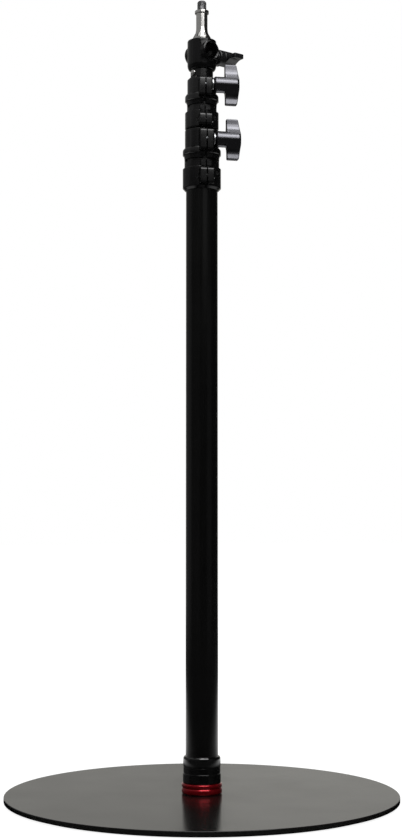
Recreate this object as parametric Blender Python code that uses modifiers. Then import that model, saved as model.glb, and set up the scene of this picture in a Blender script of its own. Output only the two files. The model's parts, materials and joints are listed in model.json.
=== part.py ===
"""Light stand: a three-section clamped column on a round steel base.

The column's axis is the Z axis and the floor is z = 0. The head's cross
socket lies along Y. Lengths are in metres, written as millimetres times MM.
Heights of the collars' features count from each collar's own lower end.
"""

import math

import bmesh
import bpy
from mathutils import Matrix, Vector

MM = 0.001

# Clearances
SEAT_GAP = 0.3 * MM
FIT = 0.2 * MM

# Facets round a full turn
PLATE_SEGMENTS = 72
COLUMN_SEGMENTS = 28
KNOB_SEGMENTS = 20
SMALL_SEGMENTS = 12

# Base plate and its rubber mat
PLATE_RADIUS = 211.8 * MM
PLATE_THICKNESS = 5.0 * MM
PLATE_EDGE = 0.6 * MM
MAT_RADIUS = 205.0 * MM
MAT_THICKNESS = 1.7 * MM
MAT_HOLE_RADIUS = 26.0 * MM

# Red hub that joins the plate and the column
HUB_RADIUS = 21.9 * MM
HUB_HEIGHT = 11.2 * MM
HUB_GROOVE_HEIGHT = 6.2 * MM
HUB_GROOVE_WIDTH = 1.2 * MM
HUB_GROOVE_DEPTH = 0.8 * MM
HUB_EDGE = 0.9 * MM
PILOT_RADIUS = 10.4 * MM
PILOT_DEPTH = 3.0 * MM
HUB_SCREW_COUNT = 3
HUB_SCREW_RADIUS = 2.5 * MM
HUB_SCREW_CIRCLE = 16.2 * MM
HUB_SCREW_HEAD_RADIUS = 4.6 * MM
HUB_SCREW_HEAD_HEIGHT = 2.6 * MM
HUB_SCREW_LENGTH = 12.0 * MM
HUB_SCREW_SOCKET = 1.7 * MM
BASE_STUD_RADIUS = 8.0 * MM
BASE_STUD_LENGTH = 38.0 * MM
STUD_CHAMFER = 1.0 * MM

# Column foot
FOOT_RADIUS = 20.1 * MM
FOOT_BASE_RADIUS = 20.6 * MM
FOOT_HEIGHT = 28.3 * MM
FOOT_BASE_HEIGHT = 10.0 * MM
FOOT_FLOOR = 4.2 * MM
FOOT_ROUNDING = 1.6 * MM
FOOT_GROOVE_HEIGHT = 16.5 * MM
FOOT_GROOVE_DEPTH = 0.3 * MM
FOOT_CORE_HEIGHT = 28.0 * MM

# Tubes
MAIN_RADIUS = 17.5 * MM
MAIN_WALL = 1.5 * MM
MAIN_LENGTH = 675.4 * MM
SECOND_RADIUS = 15.0 * MM
SECOND_WALL = 1.5 * MM
THIRD_RADIUS = 12.5 * MM
THIRD_WALL = 1.5 * MM

# End plugs and the guide rings that run on them
PLUG_INSERT = 20.0 * MM
PLUG_FLANGE = 3.7 * MM
GUIDE_LENGTH = 23.4 * MM
GUIDE_WALL = 2.4 * MM
PLUG_END_CLEARANCE = 2.3 * MM

# Both collars
BUSH_WALL = 1.2 * MM
COLLAR_SEAM = 0.6 * MM
SLIT_WIDTH = 1.5 * MM
SLOT_HEIGHT = 3.2 * MM
SLOT_DEPTH = 2.0 * MM
EAR_ROUNDING = 2.6 * MM
EAR_SIDE_CHAMFER = 0.7 * MM
COLLAR_EDGE = 0.6 * MM
LIP_HEIGHT = 2.8 * MM
EAR_SKIN = 0.9 * MM
INNER_SKIN = 0.6 * MM
SEAT_SKIN = 2.0 * MM
EAR_FOOT_DEPTH = 5.8 * MM
LUG_HALF_WIDTH = 5.7 * MM
LUG_REACH = 3.0 * MM
SLOT_ABOVE_NECK = 0.9 * MM

# Lower collar: skirt on the main tube, clamp on the second tube
LOWER_TURN = math.radians(-26.3)
LOWER_SKIRT_WALL = 3.45 * MM
LOWER_SKIRT_HEIGHT = 24.2 * MM
LOWER_SKIRT_CHAMFER = 2.6 * MM
LOWER_NECK_WALL = 1.55 * MM
LOWER_NECK_HEIGHT = 9.0 * MM
LOWER_TAPER_HEIGHT = 6.5 * MM
LOWER_RIM_HEIGHT = 4.0 * MM
LOWER_SHOULDER_HEIGHT = 3.0 * MM
LOWER_CLAMP_WALL = 2.15 * MM
LOWER_CLAMP_HEIGHT = 20.9 * MM
LOWER_TOP_CHAMFER = 0.8 * MM
LOWER_EAR_HALF_WIDTH = 7.6 * MM
LOWER_SKIRT_EAR_BOTTOM = 3.5 * MM
LOWER_SKIRT_EAR_DROP = 3.1 * MM
LOWER_CLAMP_EAR_DROP = 3.2 * MM
LOWER_KNOB_RISE = 1.2 * MM
LOWER_SET_SCREW_DROP = 6.6 * MM

# Upper collar: skirt on the second tube, clamp on the third tube
UPPER_TURN = math.radians(-28.3)
UPPER_SKIRT_WALL = 3.45 * MM
UPPER_SKIRT_HEIGHT = 19.0 * MM
UPPER_SKIRT_CHAMFER = 0.8 * MM
UPPER_NECK_WALL = 1.25 * MM
UPPER_NECK_HEIGHT = 7.0 * MM
UPPER_TAPER_HEIGHT = 6.0 * MM
UPPER_RIM_HEIGHT = 4.0 * MM
UPPER_SHOULDER_HEIGHT = 3.5 * MM
UPPER_CLAMP_WALL = 2.0 * MM
UPPER_CLAMP_HEIGHT = 19.0 * MM
UPPER_TOP_CHAMFER = 2.6 * MM
UPPER_EAR_HALF_WIDTH = 7.0 * MM
UPPER_SKIRT_EAR_BOTTOM = 0.6 * MM
UPPER_SKIRT_EAR_DROP = 5.1 * MM
UPPER_CLAMP_EAR_DROP = 4.1 * MM
UPPER_KNOB_RISE = 2.8 * MM
UPPER_SET_SCREW_DROP = 8.0 * MM

# Clamp bolts, nuts and set screws in the skirts
BOLT_RADIUS = 2.5 * MM
BOLT_HEAD_RADIUS = 4.25 * MM
BOLT_HEAD_HEIGHT = 4.2 * MM
BOLT_HEAD_EDGE = 0.4 * MM
BOLT_SOCKET_RADIUS = 2.3 * MM
BOLT_SOCKET_DEPTH = 2.5 * MM
BOLT_SEAT = 2.8 * MM
NUT_FLATS = 8.0 * MM
NUT_HEIGHT = 3.6 * MM
SET_SCREW_RADIUS = 2.5 * MM
SET_SCREW_RECESS = 0.5 * MM
SET_SCREW_SOCKET = 1.45 * MM
SET_SCREW_ANGLE = math.radians(42.0)

# Clamping knobs of the collars
KNOB_STUD_RADIUS = 3.0 * MM
KNOB_STUD_GRIP = 14.0 * MM
INSERT_WALL = 1.0 * MM
INSERT_SKIN = 1.2 * MM
WASHER_RADIUS = 5.9 * MM
WASHER_THICKNESS = 1.6 * MM
SPOT_FACE_CLEARANCE = 0.4 * MM
WING_SUNK = 0.4 * MM
KNOB_DOME = 2.8 * MM
KNOB_HUB_RADIUS = 8.3 * MM
KNOB_NECK_RADIUS = 5.9 * MM
KNOB_HUB_EDGE = 1.8 * MM
KNOB_NECK_LENGTH = 0.8 * MM
KNOB_LENGTH = 28.4 * MM
KNOB_WING_START = 12.8 * MM
KNOB_WING_WIDTH = 13.0 * MM
KNOB_HALF_SPAN = 23.0 * MM
KNOB_TIP_THICKNESS = 5.0 * MM
KNOB_FLARE = 15.0 * MM
KNOB_FLARE_END = 0.3
KNOB_TIP_ROUNDING = 1.2 * MM
KNOB_STATIONS = (-0.8, -0.6, -0.45, -0.3, 0.3, 0.45, 0.6, 0.8)
KNOB_WING_BEVEL = 0.9 * MM

# Head casting
HEAD_STANDOFF = 8.7 * MM
PIN_BELOW_HEAD = 4.2 * MM
HEAD_RADIUS = 16.0 * MM
HEAD_HEIGHT = 33.3 * MM
HEAD_TOP_EDGE = 1.1 * MM
HEAD_BOWL_HEIGHT = 6.0 * MM
HEAD_BOWL_RADIUS = 13.2 * MM
HEAD_SHANK_LENGTH = 26.0 * MM
SOCKET_HEIGHT = 19.6 * MM
SOCKET_RADIUS = 8.2 * MM
SOCKET_CHAMFER = 1.4 * MM
BARREL_RADIUS = 11.3 * MM
BARREL_HALF_LENGTH = 17.9 * MM
BARREL_EDGE = 0.5 * MM
BOSS_RADIUS = 7.4 * MM
BOSS_REACH = 16.6 * MM

# Rivet through the third tube and the head's shank
PIN_RADIUS = 2.0 * MM
PIN_HEAD_RADIUS = 3.7 * MM
PIN_HEAD_HEIGHT = 1.3 * MM

# Knob of the head
HEAD_STUD_RADIUS = 3.9 * MM
HEAD_PAD_THICKNESS = 2.0 * MM
HEAD_PAD_RECESS = 0.2 * MM
HEAD_KNOB_TRAVEL = 2.8 * MM
HEAD_KNOB_TILT = math.radians(2.0)
HEAD_KNOB_NECK_LENGTH = 1.2 * MM
HEAD_KNOB_LENGTH = 24.6 * MM
HEAD_KNOB_WING_START = 9.0 * MM

# Spigot on the head
SPIGOT_BASE_RADIUS = 9.8 * MM
SPIGOT_BASE_HEIGHT = 3.8 * MM
SPIGOT_CONE_HEIGHT = 9.2 * MM
SPIGOT_WAIST_RADIUS = 6.35 * MM
SPIGOT_WAIST_HEIGHT = 17.9 * MM
SPIGOT_FLANGE_RADIUS = 7.8 * MM
SPIGOT_FLANGE_HEIGHT = 3.2 * MM
SPIGOT_THREAD_RADIUS = 4.76 * MM
SPIGOT_THREAD_HEIGHT = 11.3 * MM
SPIGOT_THREAD_CHAMFER = 1.3 * MM
SPIGOT_EDGE = 0.3 * MM
SPIGOT_SCREW_RADIUS = 3.0 * MM
SPIGOT_SCREW_GRIP = 11.0 * MM
SPIGOT_SCREW_HEAD_RADIUS = 4.9 * MM
SPIGOT_SCREW_HEAD_HEIGHT = 1.9 * MM
SPIGOT_SCREW_SOCKET = 1.8 * MM

# Heights that follow from the sizes above
PLATE_BOTTOM = MAT_THICKNESS + SEAT_GAP
PLATE_TOP = PLATE_BOTTOM + PLATE_THICKNESS
HUB_BOTTOM = PLATE_TOP + SEAT_GAP
HUB_TOP = HUB_BOTTOM + HUB_HEIGHT
FOOT_BOTTOM = HUB_TOP + SEAT_GAP
FOOT_TOP = FOOT_BOTTOM + FOOT_HEIGHT
MAIN_BOTTOM = FOOT_BOTTOM + FOOT_FLOOR + SEAT_GAP
MAIN_TOP = MAIN_BOTTOM + MAIN_LENGTH
FOOT_CORE_TOP = MAIN_BOTTOM + FOOT_CORE_HEIGHT
MAIN_BORE = MAIN_RADIUS - MAIN_WALL
SECOND_BORE = SECOND_RADIUS - SECOND_WALL
THIRD_BORE = THIRD_RADIUS - THIRD_WALL

FINISHES = {
    "powder_black": ((0.030, 0.030, 0.030), 0.35, 0.0),
    "rubber_black": ((0.020, 0.020, 0.020), 0.85, 0.0),
    "anodised_red": ((0.300, 0.012, 0.025), 0.28, 1.0),
    "anodised_black": ((0.014, 0.014, 0.015), 0.34, 0.2),
    "gloss_black": ((0.010, 0.010, 0.010), 0.15, 0.0),
    "collar_black": ((0.018, 0.018, 0.019), 0.38, 0.0),
    "gunmetal": ((0.160, 0.160, 0.170), 0.25, 1.0),
    "zinc_steel": ((0.520, 0.520, 0.530), 0.30, 1.0),
    "black_steel": ((0.022, 0.022, 0.023), 0.40, 0.0),
    "chrome": ((0.780, 0.780, 0.770), 0.12, 1.0),
    "brass": ((0.620, 0.470, 0.200), 0.30, 1.0),
    "nylon_grey": ((0.070, 0.070, 0.075), 0.55, 0.0),
    "nylon_white": ((0.620, 0.610, 0.580), 0.50, 0.0),
    "knob_black": ((0.016, 0.016, 0.017), 0.40, 0.0),
}


class Collar:
    """One split collar: a skirt on the tube below and a clamp on the tube above."""

    def __init__(self, prefix, turn, lower_tube, upper_tube, skirt_wall, skirt_height,
                 skirt_chamfer, neck_wall, neck_height, taper_height, rim_height,
                 shoulder_height, clamp_wall, clamp_height, top_chamfer, ear_half_width,
                 skirt_ear_bottom, skirt_ear_drop, clamp_ear_drop, knob_rise, set_screw_drop):
        self.prefix = prefix
        self.turn = turn
        self.lower_bore = lower_tube + FIT
        self.bush_bore = upper_tube + FIT
        self.bush_radius = self.bush_bore + BUSH_WALL
        self.clamp_bore = self.bush_radius + FIT
        self.skirt_radius = self.lower_bore + skirt_wall
        self.skirt_height = skirt_height
        self.skirt_chamfer = skirt_chamfer
        self.neck_radius = self.lower_bore + neck_wall
        self.neck_top = skirt_height + neck_height
        self.clamp_radius = self.clamp_bore + clamp_wall
        self.rim_bottom = self.neck_top + taper_height
        self.rim_top = self.rim_bottom + rim_height
        self.shoulder_top = self.rim_top + shoulder_height
        self.height = self.shoulder_top + clamp_height
        self.top_chamfer = top_chamfer
        self.slot_top = self.neck_top + SLOT_ABOVE_NECK
        self.seat = self.slot_top + SEAT_SKIN
        self.half_width = ear_half_width
        self.skirt_ear_bottom = skirt_ear_bottom
        self.skirt_ear_top = skirt_height - skirt_ear_drop
        self.bolt_height = (self.skirt_ear_bottom + self.skirt_ear_top) / 2
        self.bolt_offset = self.lower_bore + INNER_SKIN + BOLT_HEAD_RADIUS + FIT
        self.skirt_ear_front = self.bolt_offset + BOLT_HEAD_RADIUS + FIT + EAR_SKIN
        self.clamp_ear_bottom = self.shoulder_top - EAR_FOOT_DEPTH
        self.clamp_ear_top = self.height - clamp_ear_drop
        self.knob_height = (self.clamp_ear_bottom + self.clamp_ear_top) / 2 + knob_rise
        self.insert_room = KNOB_STUD_RADIUS + INSERT_WALL + 2 * FIT
        self.knob_offset = self.clamp_bore + INNER_SKIN + self.insert_room
        self.clamp_ear_front = self.knob_offset + self.insert_room + EAR_SKIN
        self.set_screw_height = skirt_height - set_screw_drop

    def stand_on(self, base):
        """Puts the collar's lower end at this height."""
        self.base = base
        self.top = base + self.height
        self.tube_top = base + self.seat - SEAT_GAP


LOWER = Collar(
    "lower", LOWER_TURN, MAIN_RADIUS, SECOND_RADIUS, LOWER_SKIRT_WALL, LOWER_SKIRT_HEIGHT,
    LOWER_SKIRT_CHAMFER, LOWER_NECK_WALL, LOWER_NECK_HEIGHT, LOWER_TAPER_HEIGHT,
    LOWER_RIM_HEIGHT, LOWER_SHOULDER_HEIGHT, LOWER_CLAMP_WALL, LOWER_CLAMP_HEIGHT,
    LOWER_TOP_CHAMFER, LOWER_EAR_HALF_WIDTH, LOWER_SKIRT_EAR_BOTTOM,
    LOWER_SKIRT_EAR_DROP, LOWER_CLAMP_EAR_DROP, LOWER_KNOB_RISE, LOWER_SET_SCREW_DROP)
LOWER.stand_on(MAIN_TOP - LOWER.seat + SEAT_GAP)

UPPER = Collar(
    "upper", UPPER_TURN, SECOND_RADIUS, THIRD_RADIUS, UPPER_SKIRT_WALL, UPPER_SKIRT_HEIGHT,
    UPPER_SKIRT_CHAMFER, UPPER_NECK_WALL, UPPER_NECK_HEIGHT, UPPER_TAPER_HEIGHT,
    UPPER_RIM_HEIGHT, UPPER_SHOULDER_HEIGHT, UPPER_CLAMP_WALL, UPPER_CLAMP_HEIGHT,
    UPPER_TOP_CHAMFER, UPPER_EAR_HALF_WIDTH, UPPER_SKIRT_EAR_BOTTOM,
    UPPER_SKIRT_EAR_DROP, UPPER_CLAMP_EAR_DROP, UPPER_KNOB_RISE, UPPER_SET_SCREW_DROP)
UPPER.stand_on(LOWER.top + COLLAR_SEAM)

PLUG_LENGTH = 2 * (PLUG_FLANGE + SEAT_GAP) + GUIDE_LENGTH
SECOND_PLUG_BOTTOM = FOOT_CORE_TOP + PLUG_END_CLEARANCE
SECOND_BOTTOM = SECOND_PLUG_BOTTOM + PLUG_LENGTH + SEAT_GAP
THIRD_PLUG_BOTTOM = SECOND_BOTTOM + PLUG_INSERT + PLUG_END_CLEARANCE
THIRD_BOTTOM = THIRD_PLUG_BOTTOM + PLUG_LENGTH + SEAT_GAP
HEAD_BOTTOM = UPPER.top + HEAD_STANDOFF
HEAD_TOP = HEAD_BOTTOM + HEAD_HEIGHT
SOCKET_Z = HEAD_BOTTOM + SOCKET_HEIGHT
PIN_Z = HEAD_BOTTOM - PIN_BELOW_HEAD
SHANK_RADIUS = THIRD_BORE - FIT
SPIGOT_BOTTOM = HEAD_TOP + SEAT_GAP
SPIGOT_SCREW_TOP = SPIGOT_BOTTOM + SPIGOT_SCREW_GRIP
SPIGOT_SCREW_SEAT = SOCKET_Z + SOCKET_RADIUS + SPIGOT_SCREW_HEAD_HEIGHT


def clear_scene():
    for old in list(bpy.data.objects):
        bpy.data.objects.remove(old, do_unlink=True)


def make_collection(name):
    collection = bpy.data.collections.new(name)
    bpy.context.scene.collection.children.link(collection)
    return collection


def make_materials():
    """One Principled material for each finish."""
    for name, (colour, roughness, metallic) in FINISHES.items():
        material = bpy.data.materials.new(name)
        material.use_nodes = True
        shader = material.node_tree.nodes["Principled BSDF"]
        shader.inputs["Base Color"].default_value = (*colour, 1.0)
        shader.inputs["Roughness"].default_value = roughness
        shader.inputs["Metallic"].default_value = metallic


def add_object(name, mesh, finish=None, frame=None):
    """Links a part, or a cutter where there is no finish, under its frame."""
    made = bpy.data.objects.new(name, mesh)
    if finish:
        PARTS.objects.link(made)
        mesh.materials.append(bpy.data.materials[finish])
    else:
        CUTTERS.objects.link(made)
        made.hide_render = True
        made.display_type = "WIRE"
    if frame:
        made.parent = frame
    return made


def add_frame(name, location, turn=0.0, parent=None, lay_over=False, spin=0.0):
    """An empty on a joint's axis; laid over, its Z runs along its parent's X."""
    empty = bpy.data.objects.new(name, None)
    PARTS.objects.link(empty)
    empty.empty_display_size = 0.02
    tip = math.pi / 2 if lay_over else 0.0
    empty.matrix_basis = (Matrix.Translation(location) @ Matrix.Rotation(turn, 4, "Z")
                          @ Matrix.Rotation(tip, 4, "Y") @ Matrix.Rotation(spin, 4, "Z"))
    if parent:
        empty.parent = parent
    return empty


def arc(centre, radii, start, end, steps):
    """Points along part of an ellipse, its angles in degrees from the outward side."""
    points = []
    for step in range(steps + 1):
        angle = math.radians(start + (end - start) * step / steps)
        points.append((centre[0] + radii[0] * math.cos(angle),
                       centre[1] + radii[1] * math.sin(angle)))
    return points


def turned(name, profile, finish=None, frame=None, segments=COLUMN_SEGMENTS):
    """A profile of (radius, height) points, down its outer side, turned about Z."""
    count = len(profile)
    edges = [(index, index + 1) for index in range(count - 1)]
    if profile[0][0] > 0:
        edges.append((count - 1, 0))
    mesh = bpy.data.meshes.new(name)
    mesh.from_pydata([(radius, 0.0, height) for radius, height in profile], edges, [])
    made = add_object(name, mesh, finish, frame)
    screw = made.modifiers.new("turn", "SCREW")
    screw.axis = "Z"
    screw.steps = segments
    screw.render_steps = segments
    screw.use_merge_vertices = True
    screw.merge_threshold = 0.00001
    return made


def ring(name, inner, outer, bottom, top, finish=None, frame=None, edge=0.0,
         segments=COLUMN_SEGMENTS):
    """A plain tube or washer, its outer corners chamfered by edge."""
    outside = [(outer, top), (outer, bottom)]
    if edge:
        outside = [(outer - edge, top), (outer, top - edge),
                   (outer, bottom + edge), (outer - edge, bottom)]
    return turned(name, [(inner, top)] + outside + [(inner, bottom)], finish, frame, segments)


def new_box(low, high):
    """A bmesh box between two corners."""
    build = bmesh.new()
    size = Vector(high) - Vector(low)
    centre = (Vector(high) + Vector(low)) / 2
    bmesh.ops.create_cube(build, size=1.0,
                          matrix=Matrix.Translation(centre) @ Matrix.Diagonal((*size, 1.0)))
    return build


def add_built(name, build, finish=None, frame=None):
    """Makes an object of a finished bmesh."""
    mesh = bpy.data.meshes.new(name)
    build.to_mesh(mesh)
    build.free()
    return add_object(name, mesh, finish, frame)


def block(name, low, high, finish=None, frame=None):
    return add_built(name, new_box(low, high), finish, frame)


def rod(name, radius, start, end, finish=None, frame=None, segments=SMALL_SEGMENTS,
        end_radius=None, edge=0.0):
    """A cylinder or cone from one point to another, chamfered at its ends by edge."""
    along = Vector(end) - Vector(start)
    middle = (Vector(end) + Vector(start)) / 2
    turn = along.to_track_quat("Z", "Y").to_matrix().to_4x4()
    build = bmesh.new()
    bmesh.ops.create_cone(build, cap_ends=True, segments=segments, radius1=radius,
                          radius2=radius if end_radius is None else end_radius,
                          depth=along.length, matrix=Matrix.Translation(middle) @ turn)
    if edge:
        rims = [line for line in build.edges if any(len(face.verts) > 4 for face in line.link_faces)]
        bmesh.ops.bevel(build, geom=rims, offset=edge, segments=1, affect="EDGES")
    return add_built(name, build, finish, frame)


def ear(name, half_width, front, back, bottom, top, frame):
    """A lug toward -Y, rounded above and below, its sides chamfered toward the front."""
    build = new_box((-half_width, -front, bottom), (half_width, -back, top))
    corners = [line for line in build.edges
               if all(vert.co.y < -(front + back) / 2 for vert in line.verts)
               and abs(line.verts[0].co.z - line.verts[1].co.z) < EAR_SIDE_CHAMFER]
    bmesh.ops.bevel(build, geom=corners, offset=EAR_ROUNDING, segments=3, profile=0.5,
                    affect="EDGES")
    sides = [line for line in build.edges
             if abs(line.verts[0].co.x - line.verts[1].co.x) < EAR_SIDE_CHAMFER
             and any(vert.co.y < -back - EAR_SIDE_CHAMFER for vert in line.verts)]
    bmesh.ops.bevel(build, geom=sides, offset=EAR_SIDE_CHAMFER, segments=1, affect="EDGES")
    return add_built(name, build, None, frame)


def combine(target, other, operation):
    """Cuts the other object from the target, or joins it on."""
    boolean = target.modifiers.new(other.name, "BOOLEAN")
    boolean.operation = operation
    boolean.solver = "EXACT"
    boolean.object = other


def cut(target, *cutters):
    for cutter in cutters:
        combine(target, cutter, "DIFFERENCE")


def join(target, *additions):
    for addition in additions:
        combine(target, addition, "UNION")


def finish_meshes():
    """Applies every part's modifiers and shades its round faces smooth."""
    depsgraph = bpy.context.evaluated_depsgraph_get()
    finished = {}
    for part in PARTS.objects:
        if part.type == "MESH":
            finished[part] = bpy.data.meshes.new_from_object(part.evaluated_get(depsgraph))
    for part, mesh in finished.items():
        part.modifiers.clear()
        part.data = mesh
        mesh.shade_smooth()
        mesh.set_sharp_from_angle(angle=math.radians(35.0))


def countersunk(name, spot, clearance, finish=None):
    """A countersunk screw that points up from the plate's underside, or its hole."""
    seat = PLATE_BOTTOM + SEAT_GAP - clearance
    foot = seat - clearance
    top = PLATE_BOTTOM + SEAT_GAP + HUB_SCREW_LENGTH + clearance
    neck = seat + HUB_SCREW_HEAD_HEIGHT
    shank = HUB_SCREW_RADIUS + clearance
    rim = HUB_SCREW_HEAD_RADIUS + clearance
    made = turned(name, [(0.0, top), (shank, top), (shank, neck), (rim, seat + clearance),
                         (rim, foot), (0.0, foot)], finish, segments=SMALL_SEGMENTS)
    made.location = (*spot, 0.0)
    return made


def make_base():
    """The steel plate on its rubber mat, the red hub and the screws from below."""
    ring("base_mat", MAT_HOLE_RADIUS, MAT_RADIUS, 0.0, MAT_THICKNESS, "rubber_black",
         segments=COLUMN_SEGMENTS)
    plate = ring("base_plate", PILOT_RADIUS + FIT, PLATE_RADIUS, PLATE_BOTTOM, PLATE_TOP,
                 "powder_black", edge=PLATE_EDGE, segments=PLATE_SEGMENTS)
    bore = BASE_STUD_RADIUS + FIT
    groove_bottom = HUB_BOTTOM + HUB_GROOVE_HEIGHT - HUB_GROOVE_WIDTH / 2
    groove_top = groove_bottom + HUB_GROOVE_WIDTH
    groove_radius = HUB_RADIUS - HUB_GROOVE_DEPTH
    profile = [(bore, HUB_TOP)]
    profile += arc((HUB_RADIUS - HUB_EDGE, HUB_TOP - HUB_EDGE), (HUB_EDGE, HUB_EDGE), 90, 0, 2)
    profile += [(HUB_RADIUS, groove_top + HUB_GROOVE_DEPTH / 2), (groove_radius, groove_top)]
    profile += [(groove_radius, groove_bottom), (HUB_RADIUS, groove_bottom - HUB_GROOVE_DEPTH / 2)]
    profile += arc((HUB_RADIUS - HUB_EDGE, HUB_BOTTOM + HUB_EDGE), (HUB_EDGE, HUB_EDGE), 0, -90, 2)
    profile += [(PILOT_RADIUS, HUB_BOTTOM), (PILOT_RADIUS, HUB_BOTTOM - PILOT_DEPTH),
                (bore, HUB_BOTTOM - PILOT_DEPTH)]
    hub = turned("base_hub", profile, "anodised_red")
    for index in range(HUB_SCREW_COUNT):
        angle = 2 * math.pi * index / HUB_SCREW_COUNT
        spot = (HUB_SCREW_CIRCLE * math.cos(angle), HUB_SCREW_CIRCLE * math.sin(angle))
        hole = countersunk(f"screw_hole_{index + 1}", spot, FIT)
        cut(plate, hole)
        cut(hub, hole)
        screw = countersunk(f"base_screw_{index + 1}", spot, 0.0, "zinc_steel")
        key = rod(f"screw_key_{index + 1}", HUB_SCREW_SOCKET, (*spot, 0.0),
                  (*spot, PLATE_BOTTOM + HUB_SCREW_HEAD_HEIGHT), segments=6)
        key.parent = screw
        key.location = (-spot[0], -spot[1], 0.0)
        cut(screw, key)


def make_foot():
    """The glossy cup round the main tube's lower end, its core and the base stud."""
    bore = MAIN_RADIUS + FIT
    hole = BASE_STUD_RADIUS + FIT
    step = FOOT_BOTTOM + FOOT_BASE_HEIGHT
    step_edge = FOOT_BASE_RADIUS - FOOT_RADIUS
    groove = FOOT_BOTTOM + FOOT_GROOVE_HEIGHT
    profile = [(bore, FOOT_TOP)]
    profile += arc((FOOT_RADIUS - FOOT_ROUNDING, FOOT_TOP - FOOT_ROUNDING),
                   (FOOT_ROUNDING, FOOT_ROUNDING), 90, 0, 3)
    profile += [(FOOT_RADIUS, groove + FOOT_GROOVE_DEPTH),
                (FOOT_RADIUS - FOOT_GROOVE_DEPTH, groove),
                (FOOT_RADIUS, groove - FOOT_GROOVE_DEPTH)]
    profile += [(FOOT_RADIUS, step), (FOOT_BASE_RADIUS, step - step_edge),
                (FOOT_BASE_RADIUS, FOOT_BOTTOM + COLLAR_EDGE),
                (FOOT_BASE_RADIUS - COLLAR_EDGE, FOOT_BOTTOM)]
    profile += [(hole, FOOT_BOTTOM), (hole, FOOT_BOTTOM + FOOT_FLOOR),
                (bore, FOOT_BOTTOM + FOOT_FLOOR)]
    turned("column_foot", profile, "gloss_black")
    ring("foot_core", hole, MAIN_BORE - FIT, MAIN_BOTTOM, FOOT_CORE_TOP, "zinc_steel",
         segments=KNOB_SEGMENTS)
    stud_bottom = HUB_BOTTOM - PILOT_DEPTH + SEAT_GAP
    rod("base_stud", BASE_STUD_RADIUS, (0, 0, stud_bottom),
        (0, 0, stud_bottom + BASE_STUD_LENGTH), "zinc_steel", segments=KNOB_SEGMENTS)


def make_plug(prefix, bottom, outer_bore, tube_bore):
    """A tube's end plug, and the guide ring that turns between its flanges."""
    guide_radius = outer_bore - SEAT_GAP
    guide_bore = guide_radius - GUIDE_WALL
    core = guide_bore - FIT
    flange = guide_radius - SEAT_GAP
    insert = tube_bore - FIT
    hollow = core - GUIDE_WALL
    guide_bottom = bottom + PLUG_FLANGE + SEAT_GAP
    guide_top = guide_bottom + GUIDE_LENGTH
    seat = bottom + PLUG_LENGTH
    top = seat + SEAT_GAP + PLUG_INSERT
    turned(f"{prefix}_plug",
           [(hollow, top), (insert, top), (insert, seat), (flange, seat),
            (flange, seat - PLUG_FLANGE),
            (core, seat - PLUG_FLANGE), (core, bottom + PLUG_FLANGE),
            (flange, bottom + PLUG_FLANGE), (flange, bottom), (hollow, bottom)],
           "nylon_grey", segments=KNOB_SEGMENTS)
    ring(f"{prefix}_guide", guide_bore, guide_radius, guide_bottom, guide_top,
         "nylon_white", segments=KNOB_SEGMENTS)


def make_tubes():
    """The three nested tubes and the plugs of the two that slide."""
    ring("main_tube", MAIN_BORE, MAIN_RADIUS, MAIN_BOTTOM, MAIN_TOP, "anodised_black")
    ring("second_tube", SECOND_BORE, SECOND_RADIUS, SECOND_BOTTOM, UPPER.tube_top,
         "anodised_black")
    make_plug("second", SECOND_PLUG_BOTTOM, MAIN_BORE, SECOND_BORE)
    third = ring("third_tube", THIRD_BORE, THIRD_RADIUS, THIRD_BOTTOM,
                 HEAD_BOTTOM - SEAT_GAP, "anodised_black")
    make_plug("third", THIRD_PLUG_BOTTOM, SECOND_BORE, THIRD_BORE)
    pin_hole = rod("tube_pin_hole", PIN_RADIUS + FIT, (-HEAD_RADIUS, 0, PIN_Z),
                   (HEAD_RADIUS, 0, PIN_Z))
    cut(third, pin_hole)


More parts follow.
